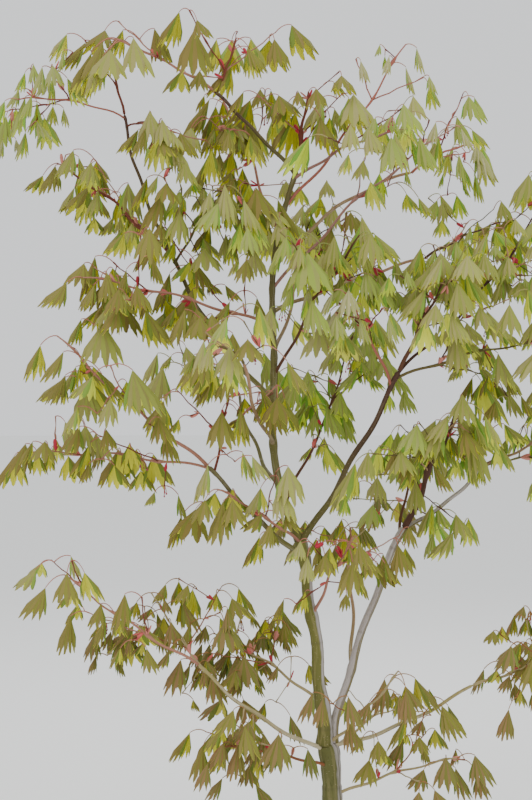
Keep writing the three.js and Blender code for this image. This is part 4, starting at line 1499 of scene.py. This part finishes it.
class Crown:
    """All the foliage of one region of the tree, joined by kind."""

    def __init__(self, region: Region, room: Room) -> None:
        """Starts with no foliage.

        Args:
            region: the part of the crown.
            room: the space round the tree.
        """
        self.room = room
        kinds = ("leaves", "stalks", "shoots", "buds")
        self.batches = {kind: Batch(f"{kind}_{region.name.lower()}") for kind in kinds}
        self.nodes: list[str] = []

    def add(self, mass: Mass) -> None:
        """Adds a mass spray by spray, and leaves out the shoots that bear nothing.

        Args:
            mass: the mass.
        """
        self.nodes.append("foliage_" + mass.row.name)
        sprays = []
        for shoot in (mass.stem, *mass.twigs, *mass.spurs):
            tint = Tint.dealt(mass.row.cast, mass.fine)
            tip = shoot.curve.tip[None]
            if shoot is mass.stem or (mass.holds(tip) and self.room.inside(tip)):
                self._add_leaves(mass, shoot, tint)
                sprays.append((shoot, tint))
        mass.stem.grown = max(mass.stem.grown, mass.row.bare)
        for shoot, tint in reversed(sprays):
            if shoot.parent is None:
                self._add_shoot(shoot, tint, STEM_SIDES, STEM_RING)
            elif shoot.grown > 0:
                shoot.parent.grown = max(shoot.parent.grown, shoot.seat)
                self._add_shoot(shoot, tint, TWIG_SIDES, TWIG_RING)
                self._add_scales(shoot, tint, mass.fine)
                self._add_flowers(shoot, tint, mass.fine)

    def _add_shoot(self, shoot: Shoot, tint: Tint, sides: int, pitch: float) -> None:
        """Adds a shoot's tube, up to its last leaf or side shoot.

        Args:
            shoot: the shoot.
            tint: its finishes.
            sides: how many sides the tube has.
            pitch: how long each of its steps is.
        """
        rings = max(2, round(shoot.length * shoot.grown / pitch))
        shape, points = bent_tube(shoot.curve, sides, rings, shoot.radius_at, shoot.grown)
        self.batches["shoots"].add(shape, points, (tint.shoot,))

    def _add_leaves(self, mass: Mass, shoot: Shoot, tint: Tint) -> None:
        """Adds the leaves of a shoot that open and find room.

        Args:
            mass: the shoot's mass.
            shoot: the shoot.
            tint: its finishes.
        """
        dice, row = mass.fine, mass.row
        for leaf in shoot.leaves:
            opens = dice.roll(0, 1) < row.fullness.opening
            lift = dice.roll(*STALK_LIFT)
            turn = dice.roll(-BLADE_TURN, BLADE_TURN)
            width = dice.roll(*BLADE_WIDTH)
            size = leaf.length * row.size * dice.roll(*BLADE_SHARE)
            lean = dice.roll(*BLADE_LEAN)
            form = dice.pick(FORMS.get(row.cast, FULL_LEAVES)).build()
            for bearing, spread in leaf.tries if opens else ():
                level = towards(bearing)
                apex = leaf.node + (level * STALK_LEVEL + UP * lift) * leaf.length
                down = unit(level * spread * lean - UP)
                bottom = apex + down * size * BLADE_DROP
                points = form.points @ (self._blade_axes(down, level, width, turn) * size) + apex
                held = mass.holds(np.array((apex, bottom))) and self.room.inside(points)
                if held and self.room.takes(apex, bottom):
                    self.batches["leaves"].add(form, points, tint.leaf)
                    self._add_stalk(leaf.node, apex, tint)
                    shoot.grown = max(shoot.grown, leaf.place)
                    break

    def _blade_axes(self, down: Array, level: Array, width: float, turn: float) -> Array:
        """Finds the axes of a blade.

        Args:
            down: the way it hangs.
            level: the side of the shoot it is on.
            width: its width as a share of plain.
            turn: its turn about its axis.

        Returns:
            Across, ahead and up, one row each.
        """
        front = unit(level - down * (level @ down))
        side = np.cross(front, -down)
        across = side * math.cos(turn) + front * math.sin(turn)
        ahead = front * math.cos(turn) - side * math.sin(turn)
        return np.array((across * width, ahead, -down))

    def _add_stalk(self, node: Array, apex: Array, tint: Tint) -> None:
        """Adds a stalk, arched from its node to what it bears.

        Args:
            node: where it starts.
            apex: where it ends.
            tint: the spray's finishes.
        """
        length = float(np.linalg.norm(apex - node))
        curve = LimbCurve(node, apex, UP * STALK_ARCH * length, 0.0)
        shape, points = bent_tube(curve, STALK_SIDES, STALK_RINGS,
                                  lambda places: STALK_RADIUS - STALK_TAPER * places)
        self.batches["stalks"].add(shape, points, (tint.stalk,))

    def _add_bud(self, shape: Shape, axes: Sequence[Array], size: float, foot: Array,
                 finish: Material) -> None:
        """Adds a small shape.

        Args:
            shape: the shape.
            axes: its three axes.
            size: its length.
            foot: where its origin goes.
            finish: its finish.
        """
        self.batches["buds"].add(shape, shape.points @ (np.array(axes) * size) + foot, (finish,))

    def _add_scales(self, shoot: Shoot, tint: Tint, dice: Dice) -> None:
        """Adds the spent bud scales at a shoot's foot.

        Args:
            shoot: the shoot.
            tint: its finishes.
            dice: the mass's fine dice.
        """
        along = shoot.direction(SCALE_AXIS)
        count = int(dice.roll(0, SCALE_MOST))
        start = dice.angle()
        for number in range(count):
            out = shoot.side(SCALE_AXIS, start + 2 * math.pi * number / count)
            size = dice.roll(*SCALE_LENGTH)
            foot = shoot.point(SCALE_PLACE) + out * shoot.radii[0] * SCALE_SINK
            axes = (np.cross(out, along), out, unit(along + out * SCALE_SPREAD))
            self._add_bud(SmallShapes.scale(), axes, size, foot, tint.scale)

    def _add_flowers(self, shoot: Shoot, tint: Tint, dice: Dice) -> None:
        """Hangs a cluster of closed flowers from the tips of a few shoots.

        Args:
            shoot: the shoot.
            tint: its finishes.
            dice: the mass's fine dice.
        """
        count = int(dice.roll(*FLOWER_COUNT)) if dice.roll(0, 1) < FLOWER_SHARE else 0
        tip = shoot.point(shoot.grown)
        for _ in range(count):
            level = towards(dice.angle())
            top = tip + (level * dice.roll(*FLOWER_SPREAD) - UP) * dice.roll(*FLOWER_DROP)
            size = dice.roll(*FLOWER_LENGTH)
            self._add_stalk(tip, top, tint)
            self._add_bud(SmallShapes.flower(), (level, np.cross(level, UP), -UP), size, top, tint.flower)

    def build(self) -> list[Piece]:
        """Makes the region's pieces and lets them stand for the solids of its masses.

        Returns:
            The pieces.
        """
        pieces = []
        for kind, batch in self.batches.items():
            piece = batch.build(creased=kind == "leaves")
            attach(piece, "root")
            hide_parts(*self.nodes)
            pieces.append(piece)
        return pieces


class Limb:
    """One limb of bark: a stem or a bough, from its seat on its parent to its tip."""

    WEAVE = 0.011
    STOUT = 0.007
    STOUT_SIDES = 20
    SLIM_SIDES = 14
    RING = 0.006
    LEAST_RINGS = 8
    COLLAR_REACH = 2.5
    TAPER_POWER = 0.85
    TIP_END = 0.97
    FLANK = (1.0, -0.55, 0.0)
    # The rings of old nodes: how far they reach and swell, and how their places and strengths vary
    SCAR_REACH = 0.0028
    SCAR_SWELL = 0.05
    SCAR_GAP = 0.052
    FIRST_SCAR = (0.3, 1.0)
    NEXT_SCAR = (0.6, 1.4)
    SCAR_SHARE = (0.5, 1.0)
    # Swellings where children branch off, and lumps: how high they are, and how many to a metre
    CHILD_SWELL = 0.22
    CHILD_REACH = 1.6
    LUMPS = 0.05
    LUMP_PITCH = 22.0
    FINE_LUMPS = 0.04
    FINE_PITCH = 90.0

    def __init__(self, row: LimbRow, foot: Array) -> None:
        """Lays out the limb.

        Args:
            row: the limb's row.
            foot: where it starts, on its parent's middle line.
        """
        self.row = row
        self.curve = LimbCurve(foot, np.array(row.tip), np.array(row.bow), self.WEAVE)
        self.sides = self.STOUT_SIDES if max(row.radii) > self.STOUT else self.SLIM_SIDES
        self.start = 0.0
        self.forks: list[float] = []

    def radius_at(self, places: Array) -> Array:
        """Finds the plain radius: a taper, with a collar at the foot.

        Args:
            places: from 0 at the foot to 1 at the tip.

        Returns:
            The radius at each place.
        """
        first, last = self.row.radii
        collar = np.exp(-places * self.curve.length / (self.COLLAR_REACH * first))
        return first + (last - first) * places**self.TAPER_POWER + self.row.collar * first * collar

    def seat(self, at: float) -> Array:
        """A place on the limb's middle line, where a child is rooted."""
        return self.curve.points(at)[0]

    def build(self, bark: Material) -> Piece:
        """Makes the limb: a straight tube laid along its line, with nodes, lumps and a round tip.

        Args:
            bark: the material.

        Returns:
            The finished piece.
        """
        length = self.curve.length * (1 - self.start)
        shape = straight_tube(self.sides, max(self.LEAST_RINGS, round(length / self.RING)))
        places = self.start + (1 - self.start) * shape.points[:, 2]
        centre, first, second = self.curve.frames(places)
        along = places * self.curve.length
        plain = self.radius_at(places)
        angles = np.arctan2(shape.points[:, 1], shape.points[:, 0])
        grain = np.column_stack((np.cos(angles) * plain, np.sin(angles) * plain, along))
        scars = self._scars(along)
        swell = 1 + self._lumps(grain) + self.SCAR_SWELL * scars + self._forks(along, plain)
        radius = self.row.girth * plain * swell * self._round_tip(along, plain)
        out = first * np.cos(angles)[:, None] + second * np.sin(angles)[:, None]
        batch = Batch("bark_" + self.row.name)
        batch.add(shape, self._settle(centre + out * radius[:, None], angles, along), (bark,))
        piece = batch.build()
        flank = out @ unit(np.array(self.FLANK))
        self._mark(piece, "FLOAT_VECTOR", "vector", grain=grain)
        self._mark(piece, "FLOAT", "value", age=places, scar=scars, flank=flank)
        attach(piece, "root")
        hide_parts(self.row.name)
        return piece

    def _mark(self, piece: Piece, kind: str, field: str, **attributes: Array) -> None:
        """Lays attributes for the bark over the piece.

        Args:
            piece: the limb.
            kind: Blender's name for their kind.
            field: its name for what one holds.
            attributes: their values at the corners.
        """
        for name, values in attributes.items():
            data = piece.data.attributes.new(name, kind, "POINT").data
            data.foreach_set(field, values.astype(np.float32).ravel())

    def _settle(self, points: Array, angles: Array, along: Array) -> Array:
        """The mesh's points as they are: only the trunk is cut to the ground."""
        return points

    def _scars(self, along: Array) -> Array:
        """Finds the rings of old nodes.

        Args:
            along: how far from the foot each corner lies.

        Returns:
            One on a ring, fading to nothing beside it.
        """
        length = self.curve.length
        dice = Dice(len(self.row.name) + round(length * MILLIMETRES))
        scars = np.zeros(len(along))
        place = self.SCAR_GAP * dice.roll(*self.FIRST_SCAR)
        while place < length:
            near = np.exp(-((along - place) / self.SCAR_REACH) ** 2)
            scars = np.maximum(scars, near * dice.roll(*self.SCAR_SHARE))
            place += self.SCAR_GAP * dice.roll(*self.NEXT_SCAR)
        return scars

    def _lumps(self, grain: Array) -> Array:
        """Finds slow swellings along the limb and small ones on its bark.

        Args:
            grain: the corners' places in the bark's own coordinates.

        Returns:
            The height of each corner's lump, as a share of the radius.
        """
        seed = Vector((0, 0, len(self.row.name)))
        lumps = np.zeros(len(grain))
        for share, pitch in ((self.LUMPS, self.LUMP_PITCH), (self.FINE_LUMPS, self.FINE_PITCH)):
            lumps += share * np.array([noise.noise(Vector(row) * pitch + seed) for row in grain])
        return lumps

    def _forks(self, along: Array, plain: Array) -> Array:
        """Finds the swellings where children branch off.

        Args:
            along: how far from the foot each corner lies.
            plain: the plain radius there.

        Returns:
            The swelling at each corner, as a share of the radius.
        """
        swell = np.zeros(len(along))
        for place in self.forks:
            near = (along - place * self.curve.length) / (self.CHILD_REACH * plain)
            swell = np.maximum(swell, np.exp(-near**2))
        return self.CHILD_SWELL * swell

    def _round_tip(self, along: Array, plain: Array) -> Array:
        """The share of the radius that is left where the tip is rounded off, as long as it is thick."""
        last = np.clip(1 - (self.curve.length - along) / plain, 0, self.TIP_END)
        return np.sqrt(1 - last**2)


class Trunk(Limb):
    """The trunk: it leans a little, flares in lobes at the root and is cut flat at the ground."""

    WEAVE = 0.004
    STOUT_SIDES = 28
    LUMPS = 0.07
    RADII = (0.0175, 0.015)
    TIP = (-0.024, 0.0, 0.376)
    BOW = (0.003, 0.0, 0.0)
    BURIED = 0.04
    FLARE = 0.007
    FLARE_HEIGHT = 0.022
    FLARE_LOBES = 5
    LOBE_DEPTH = 0.22
    FORK_SWELL = 0.0022
    FORK_HEIGHT = 0.028
    # The ground is looked for over this share of the middle line, in so many steps
    GROUND_SHARE = 0.3
    GROUND_STEPS = 3000

    def __init__(self) -> None:
        """Sets the trunk on the ground."""
        # The trunk wears the olive bark darkened, partly with painted shade of the crown above it.
        row = LimbRow("trunk", "", 0, self.TIP, self.BOW, self.RADII, MOSSY)
        super().__init__(row, np.array((-self.TIP[0] * self.BURIED / self.TIP[2], 0.0, -self.BURIED)))
        heights = self.curve.points(np.linspace(0, self.GROUND_SHARE, self.GROUND_STEPS + 1))[:, 2]
        self.start = self.GROUND_SHARE * float(np.searchsorted(heights, 0.0)) / self.GROUND_STEPS

    def radius_at(self, places: Array) -> Array:
        """Finds the plain radius, with the flare and the swelling under the fork.

        Args:
            places: from 0 at the foot to 1 at the tip.

        Returns:
            The radius at each place.
        """
        height = np.maximum(0, places * self.curve.length - self.BURIED)
        plain = self.RADII[0] + (self.RADII[1] - self.RADII[0]) * height / self.TIP[2]
        flare = self.FLARE * np.exp(-height / self.FLARE_HEIGHT)
        from_fork = self.curve.length * (1 - places) / self.FORK_HEIGHT
        return plain + flare + self.FORK_SWELL * np.exp(-from_fork**2)

    def _settle(self, points: Array, angles: Array, along: Array) -> Array:
        """Draws the root flare out in lobes, and cuts the foot flat at the ground.

        Args:
            points: the mesh's points.
            angles: how far round the trunk each lies.
            along: how far from the foot each lies.

        Returns:
            Where the points end up.
        """
        height = np.maximum(0, along - self.BURIED)
        lobes = self.FLARE * self.LOBE_DEPTH * np.cos(self.FLARE_LOBES * angles)
        share = lobes * np.exp(-height / self.FLARE_HEIGHT)
        away = points - self.curve.points(along / self.curve.length)
        points = points + away * (share / np.linalg.norm(away, axis=1))[:, None]
        foot = along < along.min() + self.RING / 2
        points[:, 2] = np.where(foot, 0.0, np.maximum(points[:, 2], 0.0))
        return points


class Maple:
    """The whole tree: limbs that grow from each other, and the crown's regions on them."""

    TIP_SEAT = 0.99

    def __init__(self, low: Array, high: Array) -> None:
        """Grows the tree.

        Args:
            low: the lowest corner of the solids' box.
            high: its highest corner.
        """
        self.limbs: dict[str, Limb] = {"trunk": Trunk()}
        for row in LIMBS:
            parent = self.limbs[row.on]
            self.limbs[row.name] = Limb(row, parent.seat(row.at) + np.array(row.shift))
            parent.forks.append(row.at)
        self.masses = [self._mass(row, index + 1) for index, row in enumerate(MASSES)]
        wood = [limb.curve for limb in self.limbs.values()] + [mass.stem.curve for mass in self.masses]
        self.room = Room(low, high, wood)

    def _mass(self, row: MassRow, seed: int) -> Mass:
        """Grows a mass on its limb, or straight on from the limb's tip.

        Args:
            row: the mass's row.
            seed: the place of its row, from 1.

        Returns:
            The mass.
        """
        limb = self.limbs[row.on]
        limb.forks.append(row.at)
        thickness = float(limb.radius_at(np.array([row.at]))[0])
        radius = thickness if row.at > self.TIP_SEAT else min(STEM_START, STEM_SHARE * thickness)
        return Mass(row, seed, limb.seat(row.at), radius)

    def build(self) -> list[Piece]:
        """Makes all pieces.

        Returns:
            The limbs, and then the crown region by region.
        """
        barks = {bark: finish.make() for bark, finish in BARKS.items()}
        pieces = [limb.build(barks[limb.row.bark]) for limb in self.limbs.values()]
        for region in Region:
            crown = Crown(region, self.room)
            for mass in self.masses:
                if mass.row.region is region:
                    crown.add(mass)
            pieces += crown.build()
        return pieces


@dataclass(frozen=True)
class Studio:
    """The photo's viewpoint, soft light and a plain pale floor. All of it is stage."""

    camera: Point = (-0.137, -2.746, 1.0)
    lens: float = 67.5
    floor_radius: float = 40.0
    floor_sides: int = 64
    floor_drop: float = 0.001
    sky: Rgb = (226, 228, 230)
    sky_strength: float = 1.35
    aim: Point = (-0.05, 0, 0.95)

    FLOOR = PlainFinish("floor", (247, 247, 245), 0.9)
    # Each light's name, place, width and power
    LIGHTS = (
        ("key", (-1.9, -4.2, 4.4), 3.3, 103.0),
        ("fill", (2.6, -2.6, 1.5), 2.4, 37.0),
        ("back", (0.4, 2.6, 3.3), 2.2, 40.0),
    )

    def build(self) -> None:
        """Sets up the stage."""
        self._set_camera()
        self._lay_floor()
        self._light_sky()
        for light in self.LIGHTS:
            self._hang_light(*light)

    def _set_camera(self) -> None:
        """Sets a level camera that looks along +Y."""
        data = bpy.data.cameras.new("camera")
        data.lens = self.lens
        camera = placed("camera", data)
        camera.location = self.camera
        camera.rotation_euler = (math.radians(90), 0, 0)
        bpy.context.scene.camera = camera

    def _lay_floor(self) -> None:
        """Lays a wide pale disc just under ground level."""
        bm = bmesh.new()
        bmesh.ops.create_circle(bm, cap_ends=True, segments=self.floor_sides, radius=self.floor_radius)
        bmesh.ops.translate(bm, verts=bm.verts[:], vec=(0, 0, -self.floor_drop))
        mesh = bpy.data.meshes.new("floor")
        bm.to_mesh(mesh)
        bm.free()
        mesh.materials.append(self.FLOOR.make())
        placed("floor", mesh)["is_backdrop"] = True

    def _light_sky(self) -> None:
        """Lights an even pale sky."""
        world = bpy.data.worlds.new("sky")
        world.use_nodes = True
        sky = world.node_tree.nodes["Background"]
        sky.inputs["Color"].default_value = linear(self.sky)
        sky.inputs["Strength"].default_value = self.sky_strength
        bpy.context.scene.world = world

    def _hang_light(self, name: str, place: Point, width: float, power: float) -> None:
        """Hangs a square soft light that faces the middle of the crown.

        Args:
            name: its name.
            place: where it hangs.
            width: how wide it is.
            power: its power.
        """
        data = bpy.data.lights.new(name, "AREA")
        data.size = width
        data.energy = power
        light = placed(name, data)
        light.location = place
        line = Vector(self.aim) - Vector(place)
        light.rotation_euler = line.to_track_quat("-Z", "Y").to_euler()


def corners() -> tuple[list[float], list[float]]:
    """The lowest and highest corner of what is shown, as plain numbers."""
    low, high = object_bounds()
    return [float(value) for value in low], [float(value) for value in high]


def main() -> None:
    """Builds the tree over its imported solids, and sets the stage."""
    logging.basicConfig(level=logging.INFO, format="%(name)s %(message)s")
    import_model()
    packed = corners()
    for piece in Maple(np.array(packed[0]), np.array(packed[1])).build():
        faces, wears = len(piece.data.polygons), len(piece.data.materials)
        log.info("%s: %d faces, %d materials", piece.name, faces, wears)
    Studio().build()
    bpy.context.view_layer.update()


if __name__ == "__main__":
    main()
